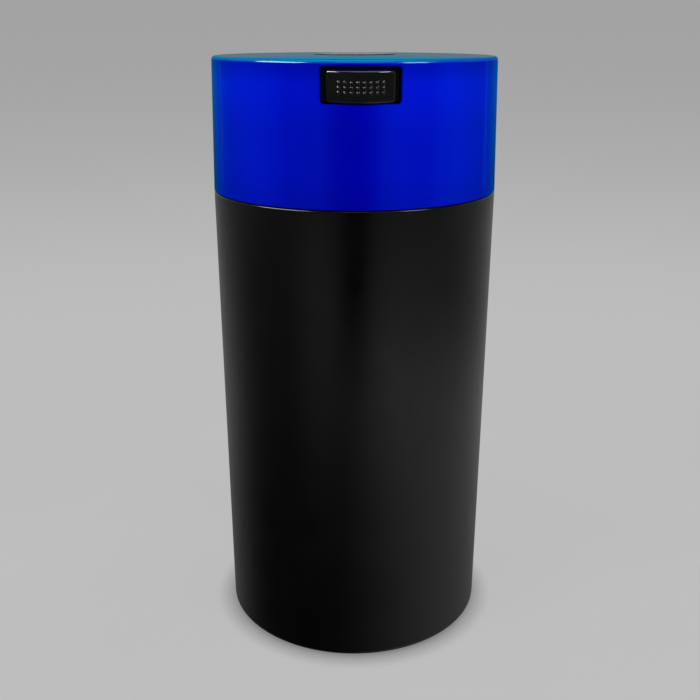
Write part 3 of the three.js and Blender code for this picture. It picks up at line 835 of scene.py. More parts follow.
# The opening sits in a patch of NX by NZ cells, whose columns and rows run on round the cap.
NX, NZ, REST = 96, 48, 222  # REST: columns outside the patch
PATCH_X, PATCH_Z0, PATCH_Z1 = 20.0, 245.6, 264.78
PATCH_MID, PATCH_HALF = (PATCH_Z0 + PATCH_Z1) / 2, (PATCH_Z1 - PATCH_Z0) / 2
PATCH_IN_TOP = 263.95  # top of the patch on the inside
WIN_MID, WIN_HALF = (WIN_Z0 + WIN_Z1) / 2, (WIN_Z1 - WIN_Z0) / 2
WIN_ARC_R = 62.5  # radius on which widths are turned into angles
OUT_LIP, IN_LIP = 0.26, 0.2  # roundings of the opening's outer and inner edges
SEAT_A, SEAT_B = BADGE_A + 0.3, BADGE_B + 0.3
SEAT_EDGE = 0.22


def edge_shares(count, corner):
    """Shares from -1 to 1 along an edge, closer together in the corners."""
    few = max(4, count // 8)
    return [
        *np.linspace(-1, -1 + corner, few, endpoint=False),
        *np.linspace(-1 + corner, 1 - corner, count - 2 * few, endpoint=False),
        *np.linspace(1 - corner, 1, few, endpoint=False),
    ]


def border(rows):
    """Vertex numbers round a grid, counter-clockwise from the lower left."""
    right, left = [row[-1] for row in rows[:-1]], [row[0] for row in rows[:0:-1]]
    return rows[0][:-1] + right + rows[-1][:0:-1] + left


def quarter(count):
    """(sine, cosine) at even steps of a quarter turn."""
    turns = [math.pi / 2 * i / (count - 1) for i in range(count)]
    return [(math.sin(t), math.cos(t)) for t in turns]


def build_opening(shape, outer_rows, inner_rows, shares_x, shares_z, half_angle):
    """Fills the patches in both faces of the wall, round the opening and through it."""
    shares = [(x, -1.0) for x in shares_x] + [(1.0, z) for z in shares_z]
    shares += [(-x, 1.0) for x in shares_x] + [(-1.0, -z) for z in shares_z]

    def add(points, radius_at):
        loops.append(shape.ring([(*around(t, radius_at(z)), z) for t, z in points]))

    def hole(grow):
        """(angle, z) round the opening, grown by grow."""
        points = [snap(*share, WIN_X + grow, WIN_HALF + grow, WIN_R + grow) for share in shares]
        return [(math.asin(x / WIN_ARC_R), WIN_MID + z) for x, z in points]

    def between(way, grow, z_of):
        """(angle, z) part of the way from the patch's edge to the opening's."""
        out = []
        for (share_x, share_z), (t1, z1) in zip(shares, hole(grow)):
            t0, z0 = share_x * half_angle, z_of(PATCH_MID + share_z * PATCH_HALF)
            out.append((t0 + (t1 - t0) * way, z0 + (z1 - z0) * way))
        return out

    loops = [border([row[: NX + 1] for row in outer_rows])]
    for way in (0.12, 0.26, 0.42, 0.6, 0.8):
        add(between(way, OUT_LIP, lambda z: z), cap_out)
    for sine, cosine in quarter(6):
        depth = OUT_LIP * (1 - cosine)
        add(hole(OUT_LIP * (1 - sine)), lambda z: cap_out(z) - depth)
    add(hole(0.0), lambda z: cap_out(z) - 1.4)
    wall = cap_out(257) - cap_in(257)
    for sine, cosine in reversed(quarter(4)):
        depth = wall - IN_LIP * (1 - cosine)
        add(hole(IN_LIP * (1 - sine)), lambda z: cap_out(z) - depth)
    for way in (0.55, 0.2):
        add(between(way, IN_LIP, inner_z), cap_in)
    loops.append(border([row[: NX + 1] for row in inner_rows]))
    # each loop closes on itself
    shape.skin(loops)


def inner_z(z):
    """The height on the inside that answers to a height in the outer patch."""
    return PATCH_Z0 + (z - PATCH_Z0) / (PATCH_Z1 - PATCH_Z0) * (PATCH_IN_TOP - PATCH_Z0)


def build_cap():
    """Rings from the ceiling's middle down the inside, up the outside and in to the seat."""
    shape, rows = Shape(), []
    shares_x, shares_z = edge_shares(NX, WIN_R / WIN_X), edge_shares(NZ, WIN_R / WIN_HALF)
    half_angle = math.asin(PATCH_X / WIN_ARC_R)
    rest = 2 * math.pi - 2 * half_angle
    angles = [x * half_angle for x in shares_x]
    angles += [half_angle + rest * j / REST for j in range(REST)]
    patch_z = [PATCH_MID + z * PATCH_HALF for z in shares_z + [1.0]]

    def add_round(radius, z):
        rows.append(shape.ring([(*around(t, radius), z) for t in angles]))

    def add_crowned(a, b, rise=0.0):
        rows.append(shape.ring([crowned(*around(t, a, b), rise) for t in angles]))

    ceiling_centre = shape.ring([(0, 0, CEILING)])[0]
    for radius in (12, 24, 36, 48, 56):
        add_round(radius, CEILING)
    corner = [np.array(p) for p in ((50.0, CEILING), (60.0, CEILING), (cap_in(250), 250.0))]
    for radius, z in corner_arc(*corner, radius=0.28, steps=3):
        add_round(radius, z)
    first_in = len(rows)
    for z in reversed(patch_z):
        add_round(cap_in(inner_z(z)), inner_z(z))
    last_in = len(rows) - 1
    for z in (238.0, 230.0, 222.0, 215.0):
        add_round(cap_in(z), z)
    rim_z = CAP_Z0 - 0.12
    rim = [
        (cap_in(212.0), 212.0), (cap_in(CAP_Z0), rim_z, 0.4),
        (R_SEAM, rim_z, 0.38), (cap_out(212.5), 212.5),
    ]
    for radius, z in rounded(rim, closed=False):
        add_round(radius, z)
    for z in (218.0, 226.0, 234.0, 241.0):
        add_round(cap_out(z), z)
    first_out = len(rows)
    for z in patch_z:
        add_round(cap_out(z), z)
    last_out = len(rows) - 1
    corner = [np.array(p) for p in ((cap_out(250), 250.0), (cap_out(TOP_Z), TOP_Z), (40.0, TOP_Z))]
    for radius, z in corner_arc(*corner, radius=CAP_EDGE, steps=9):
        if z > PATCH_Z1 + 0.02:
            add_round(radius, z)
    for radius in (60.3, 59.0, 56.0, 52.0, 48.0, 44.0, 40.0):
        add_crowned(radius, radius)
    for way in (0.85, 0.7, 0.55, 0.4, 0.25, 0.12, 0.04):  # from the seat's oval out to a circle
        add_crowned(SEAT_A + (40 - SEAT_A) * way, SEAT_B + (40 - SEAT_B) * way)
    for sine, cosine in quarter(4):
        grow = SEAT_EDGE * (1 - sine)
        add_crowned(SEAT_A + grow, SEAT_B + grow, -SEAT_EDGE * (1 - cosine))
    for k in (1.0, 0.75, 0.5, 0.25):
        rows.append(shape.ring([(*around(t, SEAT_A * k, SEAT_B * k), SEAT) for t in angles]))

    shape.fan(rows[-1], (0, 0, SEAT))
    ring = rows[0]
    shape.faces += [(ceiling_centre, b, a) for a, b in zip(ring, ring[1:] + ring[:1])]
    columns = len(angles)
    for i, (a, b) in enumerate(zip(rows, rows[1:])):
        window = first_in <= i < last_in or first_out <= i < last_out
        for j in range(NX if window else 0, columns):
            k = (j + 1) % columns
            shape.faces.append((a[j], a[k], b[k], b[j]))
    outer, inner = rows[first_out : last_out + 1], rows[first_in : last_in + 1][::-1]
    build_opening(shape, outer, inner, shares_x, shares_z, half_angle)
    return shape


def build_bosses():
    """Tubes and two radial ribs under the cap's top."""

    def tube(inner, outer, z0, segs, at):
        z1 = 264.8
        profile = [(inner, z0, 0.15), (outer, z0, 0.35), (outer, z1), (inner, z1)]
        return lathe(profile, segs, steps=3, at=at)

    shape = Shape()
    for at in SCREWS:
        shape.join(tube(1.1, 3.0, 258.3, 48, at))
    shape.join(tube(2.45, 3.7, 259.5, 64, VALVE))
    for x, y in SCREWS[::2]:  # the front pair
        out = Vector((x, y, 0)).normalized()
        side = Vector((-out.y, out.x, 0)) * 0.6
        start, end = Vector((x, y, 0)) + out * 2.6, out * 60.6
        outline = [tuple(p[:2]) for p in (start + side, start - side, end - side, end + side)]
        shape.join(prism(outline, 259.2, 264.8, bevel=0.15, steps=2))
    return shape


place(build_cap().object("cap_outer_shell", sharp=40), "cap", "cap_blue", "cap_shell")
place(build_bosses().object("cap_bosses"), "cap", "cap_blue")

# ------------------------------------------------------------------ badge on the top
BADGE_Z0 = SEAT + 0.1
DISH_INSET, DISH_RISE, DOME = 1.75, 0.19, 0.08  # where the face starts, and how it bulges
# the raised border: inset from the edge, rise over the cap's crown
BADGE_RIM = [
    (0.0, 0.12), (0.03, 0.19), (0.1, 0.24), (0.22, 0.27), (0.45, 0.29), (0.8, 0.30),
    (1.3, 0.30), (1.45, 0.27), (1.6, 0.21), (DISH_INSET, DISH_RISE),
]


def build_badge(count=192):
    shape = Shape()

    def oval(inset, scale=1.0):
        a, b = (BADGE_A - inset) * scale, (BADGE_B - inset) * scale
        return [around(2 * math.pi * i / count, a, b) for i in range(count)]

    rings = [shape.ring([(x, y, BADGE_Z0) for x, y in oval(0.0)])]
    for inset, rise in BADGE_RIM:
        rings.append(shape.ring([crowned(x, y, rise) for x, y in oval(inset)]))
    for k in (0.85, 0.7, 0.5, 0.3, 0.12):
        rise = DISH_RISE + DOME * (1 - k * k)
        rings.append(shape.ring([crowned(x, y, rise) for x, y in oval(DISH_INSET, k)]))
    shape.skin(rings)
    shape.fan(rings[-1], crowned(0, 0, DISH_RISE + DOME))
    shape.fan(rings[0], (0, 0, BADGE_Z0))
    return shape


place(build_badge().object("top_badge_plate"), "cap", "badge_foil", "top_badge")

# ------------------------------------------------------------------ button housing
UP_TO_BACK = Matrix(((1, 0, 0), (0, 0, 1), (0, -1, 0))).to_4x4()  # +Z to +Y, +Y to -Z
UP_TO_RIGHT = Matrix(((0, 0, 1), (0, 1, 0), (-1, 0, 0))).to_4x4()  # +Z to +X
SIDE_VIEW = Matrix(((0, 0, 1), (1, 0, 0), (0, 1, 0))).to_4x4()  # x to y, y to z, z to x
HOUSING_R, HOUSING_X, HOUSING_BACK = 58.9, 19.5, -27.8
CAVITY_X, CAVITY_FRONT, CAVITY_BACK = 17.3, -56.2, -30.0
CAVITY = rounded(
    [
        (-CAVITY_X, CAVITY_FRONT, 0.4), (CAVITY_X, CAVITY_FRONT, 0.4),
        (CAVITY_X, CAVITY_BACK, 0.8), (-CAVITY_X, CAVITY_BACK, 0.8),
    ],
    steps=4,
)


def spring_peg(side, profile):
    """A peg along Y on a button spring's axis. Its profile is of (radius, y, fillet)."""
    move = Matrix.Translation((side * SPRING_X, 0, SPRING_Z)) @ UP_TO_BACK
    return lathe(profile, 40, steps=3).moved(move)


def build_housing():
    front = arc(HOUSING_R, -HOUSING_X, HOUSING_X, 40)
    back = u_turn(HOUSING_X, front[-1][1], HOUSING_BACK, 1.2, steps=5)
    sill = prism(front + back, HOUSING_Z0, 250.0, bevel=0.2, holes=[CAVITY])
    obj = sill.blank("button_pocket_housing")
    # side and back walls above the sill, open at the front
    mouth_y = -math.sqrt(HOUSING_R**2 - WIN_X**2)
    inside = [
        (-WIN_X, mouth_y), (-WIN_X, CAVITY_FRONT, 0.15), (-CAVITY_X, CAVITY_FRONT, 0.3),
        (-CAVITY_X, CAVITY_BACK, 0.8), (CAVITY_X, CAVITY_BACK, 0.8),
        (CAVITY_X, CAVITY_FRONT, 0.3), (WIN_X, CAVITY_FRONT, 0.15), (WIN_X, mouth_y),
    ]
    walls = [p for p in front if p[0] <= -WIN_X] + rounded(inside, closed=False, steps=4)
    walls += [p for p in front if p[0] > WIN_X + 0.05] + back
    unite(obj, prism(walls, 249.6, HOUSING_TOP, bevel=0.2))
    boss = [(0.0, HOUSING_Z0), (3.0, HOUSING_Z0, 0.2), (3.0, BOSS_Z, 0.25), (0.0, BOSS_Z)]
    for x, y in SCREWS:
        side = math.copysign(1, x)
        unite(obj, lathe(boss, 64, steps=3, at=(x, y)))
        xs, ys = (side * 18.6, x - side * 1.2), (y - 1.2, y + 1.2)
        unite(obj, block(xs, ys, (HOUSING_Z0, BOSS_Z), radius=0.1, bevel=0.15))
    for at in SCREWS:
        cut(obj, rod(1.35, 240, 270, 48, at))
    peg = [(0, -34.0), (1.3, -34.0, 0.3), (1.3, -29.0), (0, -29.0)]
    unite(obj, spring_peg(-1, peg).join(spring_peg(1, peg)))
    return finish(obj)


place(build_housing(), "cap", "inner_black", "button_housing")

# ------------------------------------------------------------------ seal between housing and cap
SEAL_X, SEAL_IN_R, SEAL_OUT_R = 19.3, 59.05, 59.7
SEAL_Z0, SEAL_Z1 = 248.2, 263.95
SEAL_TOP_R, SEAL_TOP_X = 59.65, 17.5  # front arc and inner half width of the top strip


def build_housing_seal():
    def band(x0, x1, z1, count):
        outline = arc(SEAL_OUT_R, x0, x1, count) + arc(SEAL_IN_R, x1, x0, count)
        return prism(outline, SEAL_Z0, z1, bevel=0.12, steps=2)

    obj = band(-SEAL_X, SEAL_X, 249.6, 48).blank("housing_window_seal")
    for side in SIDES:
        unite(obj, band(*sorted((side * 16.3, side * SEAL_X)), SEAL_Z1, 8))
    top = arc(SEAL_TOP_R, -SEAL_X, -SEAL_TOP_X, 6)
    top += u_turn(-SEAL_TOP_X, -57.0, -29.8, 0.9, steps=4)
    top += arc(SEAL_TOP_R, SEAL_TOP_X, SEAL_X, 6)
    top += u_turn(SEAL_X, -56.0, -28.0, 1.1, steps=4)
    unite(obj, prism(top, 263.55, SEAL_Z1, bevel=0.1, steps=2))
    return finish(obj)


place(build_housing_seal(), "cap", "gasket_rubber", "housing_seal")


# ------------------------------------------------------------------ gasket and valve plate
def plate_blank(name, grow, z0, z1, hole_r, bevel):
    """A plate with an arched front and an ear for each screw."""
    half_x = 19.4 + grow
    front = arc(PLATE_R, -half_x, half_x, 40)
    outline = front + u_turn(half_x, front[-1][1], -28.1 + grow, 1.4, steps=5)
    obj = prism(outline, z0, z1, bevel).blank(name)
    ear_r = 3.3 + grow
    for x, y in SCREWS:
        side = math.copysign(1, x)
        turn = [math.pi * i / 24 for i in range(25)]
        ear = [(side * 18.0, y - side * ear_r)]
        ear += [around(a, side * ear_r, at=(x, y)) for a in turn]
        ear.append((side * 18.0, y + side * ear_r))
        unite(obj, prism(ear, z0, z1, bevel))
    for at in SCREWS:
        cut(obj, rod(hole_r, z0 - 2, z1 + 2, 48, at))
    return obj


gasket = plate_blank("plate_rim_gasket", grow=-0.15, z0=247.1, z1=247.9, hole_r=1.7, bevel=0.12)
cut(gasket, prism(CAVITY, 246, 249, bevel=0.0, steps=1))
place(finish(gasket), "cap", "gasket_rubber", "plate_gasket")

plate = plate_blank("valve_cover_plate", grow=0.0, z0=244.8, z1=247.0, hole_r=1.4, bevel=0.3)
collar = [(0, 245.5), (4.1, 245.5), (4.1, 248.0, 0.25), (0, 248.0)]
unite(plate, lathe(collar, 72, steps=3, at=VALVE))
for side in SIDES:  # rails beside the valve
    xs = (side * 10.55, side * 11.8)
    unite(plate, block(xs, (-54, -33), (245.5, 249.5), radius=0.3, bevel=0.25))
funnel = [(0, 240), (4.6, 240), (2.5, 245.6, 0.4), (2.5, 252), (0, 252)]
cut(plate, lathe(funnel, 72, steps=4, at=VALVE))
for at in SCREWS:  # shallow sinks round the screw heads
    cut(plate, rod(2.75, 243.0, 244.95, 64, at))
place(finish(plate), "cap", "plate_black", "valve_plate")

# ------------------------------------------------------------------ screws
SCREW_HEAD = [
    (0, 243.2), (1.75, 243.2, 0.8), (2.3, 244.0, 0.25), (2.3, 244.7, 0.12),
    (0.9, 244.7, 0.1), (0.9, 245.6), (0, 245.6),
]
THREAD_Z0, THREAD_Z1, THREAD_TIP, THREAD_PITCH = 245.3, 262.0, 262.35, 0.62
THREAD_CORE, THREAD_RIDGE = 0.72, 0.26  # core radius, height of the ridge


def build_thread(at, segs=40):
    shape, rings = Shape(), []
    x, y = at
    rows = int((THREAD_Z1 - THREAD_Z0) / THREAD_PITCH * 10)
    for i in range(rows + 1):
        z = THREAD_Z0 + (THREAD_Z1 - THREAD_Z0) * i / rows
        left = THREAD_Z1 - z
        fade = min(1.0, max(0.0, (z - 246.4) / 0.8)) * min(1.0, left / 1.2)
        points = []
        for j in range(segs):
            a = 2 * math.pi * j / segs
            phase = ((z / THREAD_PITCH) - j / segs) % 1.0
            ridge = max(0.0, 1 - abs(phase - 0.5) * 3.4)
            radius = THREAD_CORE + THREAD_RIDGE * ridge * fade
            radius *= min(1.0, 0.35 + left / 1.6)
            points.append((x + radius * math.cos(a), y + radius * math.sin(a), z))
        rings.append(shape.ring(points))
    shape.skin(rings)
    shape.faces.append(tuple(rings[0]))
    shape.fan(rings[-1], (x, y, THREAD_TIP))
    return shape


def build_screw(name, at):
    """Pan head with a cross recess, and a rolled thread."""
    obj = lathe(SCREW_HEAD, 64, at=at).blank(name)
    rounding = {"radius": 0.1, "bevel": 0.05, "corner_steps": 3, "bevel_steps": 1}
    for arm in cross_arms(at, 1.15, 0.26, (242.5, 244.15), **rounding):
        cut(obj, arm)
    unite(obj, build_thread(at))
    return finish(obj, sharp=45)


for i, at in enumerate(SCREWS, start=1):
    place(build_screw(f"cap_screw_{i}", at), "cap", "screw_steel", f"plate_screw_{i}")

# ------------------------------------------------------------------ push button
FACE_R, FACE_Y = 25.0, -64.1  # radius of the bowed face and its foremost line
BUTTON_Z0, BUTTON_Z1, BUTTON_X = 250.6, 262.6, 13.55
BUTTON_MID, BUTTON_HALF = (BUTTON_Z0 + BUTTON_Z1) / 2, (BUTTON_Z1 - BUTTON_Z0) / 2
BUTTON_CORNER, BUTTON_EDGE = 1.2, 0.62  # fillets of the outline and of the face's edge
BUMPS_X, BUMPS_Z, PITCH_X, PITCH_Z = 8, 3, 2.5, 1.9
BUMP_R, BUMP_SHOULDER, BUMP_H, BUMP_Z = 0.62, 0.34, 0.35, 256.4
GRID_NX, GRID_NZ, GRID_X, GRID_Z = 264, 72, 11.2, 3.6  # cells and half size of the bumps' grid
# the hollow back: y, inset from the outline
BUTTON_BACK = [
    (-59.2, 0.0), (-57.0, 0.0), (-54.4, 0.0), (-54.2, 0.2), (-54.2, 1.7), (-54.4, 1.9),
    (-59.7, 1.9), (-60.0, 2.3),
]
WEB_BACK, WEB_Z0, WEB_BEND = -34.4, 247.25, (-47.2, -35.8)
RAMP_SLOPE, PIN_GAP = 0.5, 0.1


def face_y(x):
    return FACE_Y + FACE_R - math.sqrt(FACE_R**2 - x * x)


def sagged(x, y, z):
    """The face's long edges sag a little towards the middle."""
    sag = 0.26 * max(0.0, 1 - (x / BUTTON_X) ** 2)
    return x, y, z - sag * min(1.0, max(0.0, (-58.5 - y) / 2.0))


def nearest(value, count, pitch):
    """The nearest of a row of centres, spread evenly about 0."""
    i = min(max(round(value / pitch + (count - 1) / 2), 0), count - 1)
    return (i - (count - 1) / 2) * pitch


def bump_height(x, z):
    """Round grip bumps with soft shoulders."""
    z -= BUMP_Z
    away = math.hypot(x - nearest(x, BUMPS_X, PITCH_X), z - nearest(z, BUMPS_Z, PITCH_Z))
    t = min(max((away - (BUMP_R - BUMP_SHOULDER)) / BUMP_SHOULDER, 0.0), 1.0)
    return BUMP_H * (1 - t * t * (3 - 2 * t))


def build_button_shell():
    """A fine grid with the bumps, then loops out over the edge and into the hollow back."""
    shape = Shape()
    xs = [-GRID_X + 2 * GRID_X * i / GRID_NX for i in range(GRID_NX + 1)]
    zs = [BUMP_Z - GRID_Z + 2 * GRID_Z * i / GRID_NZ for i in range(GRID_NZ + 1)]
    grid = [shape.ring([(x, face_y(x) - bump_height(x, z), z) for x in xs]) for z in zs]
    shape.skin(grid, wrap=False)
    loops = [border(grid)]
    base = [(shape.verts[i][0], shape.verts[i][2]) for i in loops[0]]
    shares = [(x / GRID_X, (z - BUMP_Z) / GRID_Z) for x, z in base]

    def outline(inset):
        corner = max(BUTTON_CORNER - inset + 0.25 * (inset / BUTTON_EDGE), 0.1)
        half_x, half_z = BUTTON_X - inset, BUTTON_HALF - inset
        points = [snap(*share, half_x, half_z, corner) for share in shares]
        return [(x, BUTTON_MID + z) for x, z in points]

    for way in (0.2, 0.4, 0.6, 0.8, 1.0):
        points = []
        for (x0, z0), (x1, z1) in zip(base, outline(BUTTON_EDGE)):
            x, z = x0 + (x1 - x0) * way, z0 + (z1 - z0) * way
            points.append((x, face_y(x), z))
        loops.append(shape.ring(points))
    for sine, cosine in quarter(7)[1:]:
        depth = BUTTON_EDGE * (1 - cosine)
        points = outline(BUTTON_EDGE * (1 - sine))
        loops.append(shape.ring([(x, face_y(x) + depth, z) for x, z in points]))
    for y, inset in BUTTON_BACK:
        loops.append(shape.ring([(x, y, z) for x, z in outline(inset)]))
    y, inset = BUTTON_BACK[-1]
    halfway = [(x * 0.5, y, BUTTON_MID + (z - BUTTON_MID) * 0.5) for x, z in outline(inset)]
    loops.append(shape.ring(halfway))
    shape.skin(loops)
    shape.fan(loops[-1], (0, y, BUTTON_MID))
    shape.verts = [sagged(*p) for p in shape.verts]
    return shape


def ramp_z(y):
    """Height of the sloping edge that runs under the lift pin."""
    drop = (PIN_R + PIN_GAP) * math.sqrt(1 + RAMP_SLOPE**2)
    return PIN_Z - drop + RAMP_SLOPE * (VALVE_Y - y)


def build_button():
    obj = build_button_shell().blank("thumb_button")
    low, high = (ramp_z(y) for y in reversed(WEB_BEND))
    web = [  # y, z, fillet
        (-55.8, WEB_Z0, 0.3), (WEB_BACK, WEB_Z0, 0.3), (WEB_BACK, low, 0.5),
        (WEB_BEND[1], low, 1.0), (WEB_BEND[0], high, 1.2), (-61.2, high),
        (-61.2, 251.5), (-55.8, 251.5),
    ]
    peg = [(0, -54.4), (1.3, -54.4), (1.3, -49.6, 0.35), (0, -49.6)]
    for side in SIDES:
        xs = (side * 12.6, side * 16.9)
        unite(obj, block(xs, (-55.9, -53.6), (250.5, 262.8), radius=0.3, bevel=0.25))
        unite(obj, spring_peg(side, peg))
        x0, x1 = sorted((side * 8.4, side * 10.2))
        unite(obj, prism(rounded(web, steps=4), x0, x1, bevel=0.18, steps=2).moved(SIDE_VIEW))
    # the floor between the webs, and the upright behind the face
    xs = (-9.6, 9.6)
    unite(obj, block(xs, (-55.8, -50.4), (WEB_Z0, 248.9), radius=0.4, bevel=0.25))
    unite(obj, block(xs, (-55.8, -54.35), (248.0, 251.6), radius=0.2, bevel=0.1))
    return finish(obj, sharp=38)


place(build_button(), "button", "button_black", "press_button")

# ------------------------------------------------------------------ button springs
spring_length = SPRING_BACK - SPRING_FRONT
for side_name, side in zip(("left", "right"), SIDES):
    move = Matrix.Translation((side * SPRING_X, SPRING_FRONT, SPRING_Z)) @ UP_TO_BACK
    spring = coil(radius=2.2, length=spring_length, turns=8.5).moved(move)
    spring = spring.object(f"return_spring_{side_name}", 60, weighted=False)
    place(spring, "cap", "spring_steel", f"button_spring_{side_name}")
    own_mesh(spring)

# ------------------------------------------------------------------ valve
POPPET = [
    (0, 249.2), (5.0, 249.2, 0.25), (5.0, 250.2, 0.4), (2.0, 250.9, 0.5), (2.0, 255.6, 0.3),
    (5.2, 255.6, 0.2), (5.2, 256.3, 0.2), (2.0, 256.3, 0.15), (2.0, 262.0, 0.5), (0, 262.0),
]
WASHER = [(2.5, 248.1, 0.15), (4.6, 248.1, 0.3), (4.8, 249.1, 0.15), (2.5, 249.1, 0.15)]
PIN = [(0, -10.4), (PIN_R, -10.4, 0.25), (PIN_R, 10.4, 0.25), (0, 10.4)]  # along X
VALVE_SPRING_Z0, VALVE_SPRING_Z1 = 256.42, 264.2
to_pin = Matrix.Translation((*VALVE, PIN_Z)) @ UP_TO_RIGHT

poppet = lathe(POPPET, 96, steps=4, at=VALVE).blank("poppet_stem")
for arm in cross_arms(VALVE, 2.2, 0.45, (245.4, 249.6), radius=0.2, bevel=0.2, bevel_steps=3):
    unite(poppet, arm)
cut(poppet, rod(PIN_R + 0.15, -4, 4, 48).moved(to_pin))
place(finish(poppet), "valve", "poppet_plastic", "valve_poppet")

washer = lathe(WASHER, 96, steps=3, at=VALVE).object("poppet_washer")
place(washer, "valve", "seal_silicone", "valve_seal")

pin = lathe(PIN, 64, steps=4, longest=3.0).moved(to_pin).object("cross_pin")
place(pin, "valve", "screw_steel", "lift_pin")

spring_length = VALVE_SPRING_Z1 - VALVE_SPRING_Z0
move = Matrix.Translation((*VALVE, VALVE_SPRING_Z0))
spring = coil(radius=4.35, length=spring_length, turns=4.5).moved(move)
spring = spring.object("poppet_spring", 60, weighted=False)
place(spring, "cap", "spring_steel", "valve_spring")
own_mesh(spring)

# ------------------------------------------------------------------ stage, in metres
TURN = math.radians(2.3)  # the camera stands this far to the left of the button
VIEWER = Vector((-math.sin(TURN), -math.cos(TURN), 0))
RIGHT = Vector((math.cos(TURN), -math.sin(TURN), 0))


def heading(azimuth):
    """A level direction, in degrees to the right of the viewer as seen from the axis."""
    a = math.radians(azimuth)
    return VIEWER * math.cos(a) + RIGHT * math.sin(a)


def floor_material():
    """A pale floor that fades out with distance and can't be seen from below."""
    mat = new_material("pale_floor")

    def clouded(low, high):
        return mat.mix(mat.remap(mat.noise(scale=6.0, detail=2.0), over=(0.3, 0.7)), low, high)

    away = mat.vector("LENGTH", mat.pos, out="Value")
    fade = mat.remap(away, over=(0.10, 0.55), smooth=True)
    tone = clouded((0.377, 0.376, 0.374), (0.391, 0.390, 0.388))
    diffuse = mat.principled(tone, 0.8, Specular_IOR_Level=0.1)
    # light scattered evenly over the floor, as emission, with a painted contact shadow where the foot
    # stands on it
    painted_contact_shadow = mat.node("ShaderNodeAmbientOcclusion", {"samples": 8}, Distance=0.010)
    even = mat.node(
        "ShaderNodeEmission",
        Color=clouded((0.511, 0.509, 0.510), (0.525, 0.523, 0.524)),
        Strength=mat.remap(painted_contact_shadow.outputs["AO"], over=(0.40, 1.0), to=(0.46, 1.0)),
    )
    lit = mat.blend(0.90, diffuse, even.outputs[0])
    clear = mat.node("ShaderNodeBsdfTransparent").outputs[0]
    below = mat.node("ShaderNodeNewGeometry").outputs["Backfacing"]
    return mat.done(mat.blend(mat.math("MAXIMUM", fade, below), lit, clear))


def build_floor(radii=(0.3, 0.8, 1.6, 3.0, 6.0), count=96):
    bm = bmesh.new()
    centre = bm.verts.new((0, 0, 0))
    turns = [2 * math.pi * j / count for j in range(count)]
    rings = [[bm.verts.new((r * math.cos(a), r * math.sin(a), 0)) for a in turns] for r in radii]
    for j in range(count):
        k = (j + 1) % count
        bm.faces.new((centre, rings[0][j], rings[0][k]))
        for a, b in zip(rings, rings[1:]):
            bm.faces.new((a[j], b[j], b[k], a[k]))
    mesh = bpy.data.meshes.new("floor")
    bm.to_mesh(mesh)
    bm.free()
    floor = bpy.data.objects.new("floor", mesh)
    bpy.context.scene.collection.objects.link(floor)
    floor.location.z = -0.0002
    floor.visible_glossy = False
    floor.data.materials.append(floor_material())
    return floor


build_floor()

# ------------------------------------------------------------------ lights
# name, azimuth, distance, height, width, length, watts, height aimed at, diffuse, glossy
LAMPS = [
    ("fill_left", -54, 1.15, 0.80, 0.60, 0.50, 11.5, 0.19, True, False),
    ("fill_right", 54, 1.15, 0.80, 0.60, 0.50, 11.5, 0.19, True, False),
    ("key_left", -62, 1.15, 0.80, 0.93, 0.50, 20.5, 0.19, False, True),
    ("key_right", 49.5, 1.20, 0.80, 0.44, 0.46, 7.0, 0.19, False, True),
    ("fill_front", -4, 0.95, 1.05, 0.42, 0.30, 2.6, 0.19, True, False),
    ("front_top", 9, 0.95, 1.05, 0.90, 0.30, 0.95, 0.19, False, True),
    ("overhead", 175, 0.35, 1.5, 1.3, 1.1, 9.0, 0, True, True),
    ("back_strip_left", -129, 0.95, 0.33, 0.016, 0.5, 0.045, 0.19, True, True),
    ("back_strip_right", 124.5, 0.95, 0.33, 0.016, 0.5, 0.045, 0.19, True, True),
]
for name, azimuth, distance, height, width, length, watts, aim_z, diffuse, glossy in LAMPS:
    data = bpy.data.lights.new(name, "AREA")
    data.shape = "RECTANGLE"
    data.size, data.size_y = width, length
    data.energy = watts
    lamp = bpy.data.objects.new(name, data)
    lamp.location = heading(azimuth) * distance + Vector((0, 0, height))
    aim = Vector((0, 0, aim_z)) - lamp.location
    lamp.rotation_euler = aim.to_track_quat("-Z", "Y").to_euler()
    lamp.visible_camera = False
    lamp.visible_diffuse, lamp.visible_glossy = diffuse, glossy
    bpy.context.scene.collection.objects.link(lamp)

# ------------------------------------------------------------------ world
# What glossy surfaces mirror below the horizon: a wide screen at the right, a nearer one beside
# the viewer, and weak ones. Azimuth, sharpness, stops of (share of slope, brightness).
SCREENS = [
    (76, 4.2, [(0.0, 0.25), (0.10, 0.29), (0.28, 0.36), (0.46, 0.40), (0.63, 0.145), (0.84, 0.135)]),
    (27, 13.0, [(0.10, 0.0), (0.28, 0.07), (0.46, 0.27), (0.66, 0.12), (0.84, 0.07)]),
    (-28, 34.0, [(0.10, 0.0), (0.28, 0.03), (0.46, 0.13), (0.66, 0.17), (0.84, 0.09)]),
    (-72, 7.0, [(0.0, 0.0), (0.10, 0.0), (0.28, 0.010), (0.46, 0.05), (0.66, 0.05), (0.84, 0.085)]),
    (132, 8.0, [(0.10, 0.0), (0.28, 0.03), (0.46, 0.07), (0.66, 0.05), (0.84, 0.05)]),
    (-128, 15.0, [(0.0, 0.03), (0.28, 0.06), (0.46, 0.11), (0.66, 0.07), (0.84, 0.03)]),
]
SCREEN_TOP = (0.93, 0.0)  # the last stop of every screen
# greys behind the scene, from below the horizon up
BACKDROP = [
    (0.0, 0.508), (0.089, 0.503), (0.234, 0.488), (0.377, 0.451), (0.52, 0.413),
    (0.661, 0.386), (0.771, 0.371), (1.0, 0.362),
]


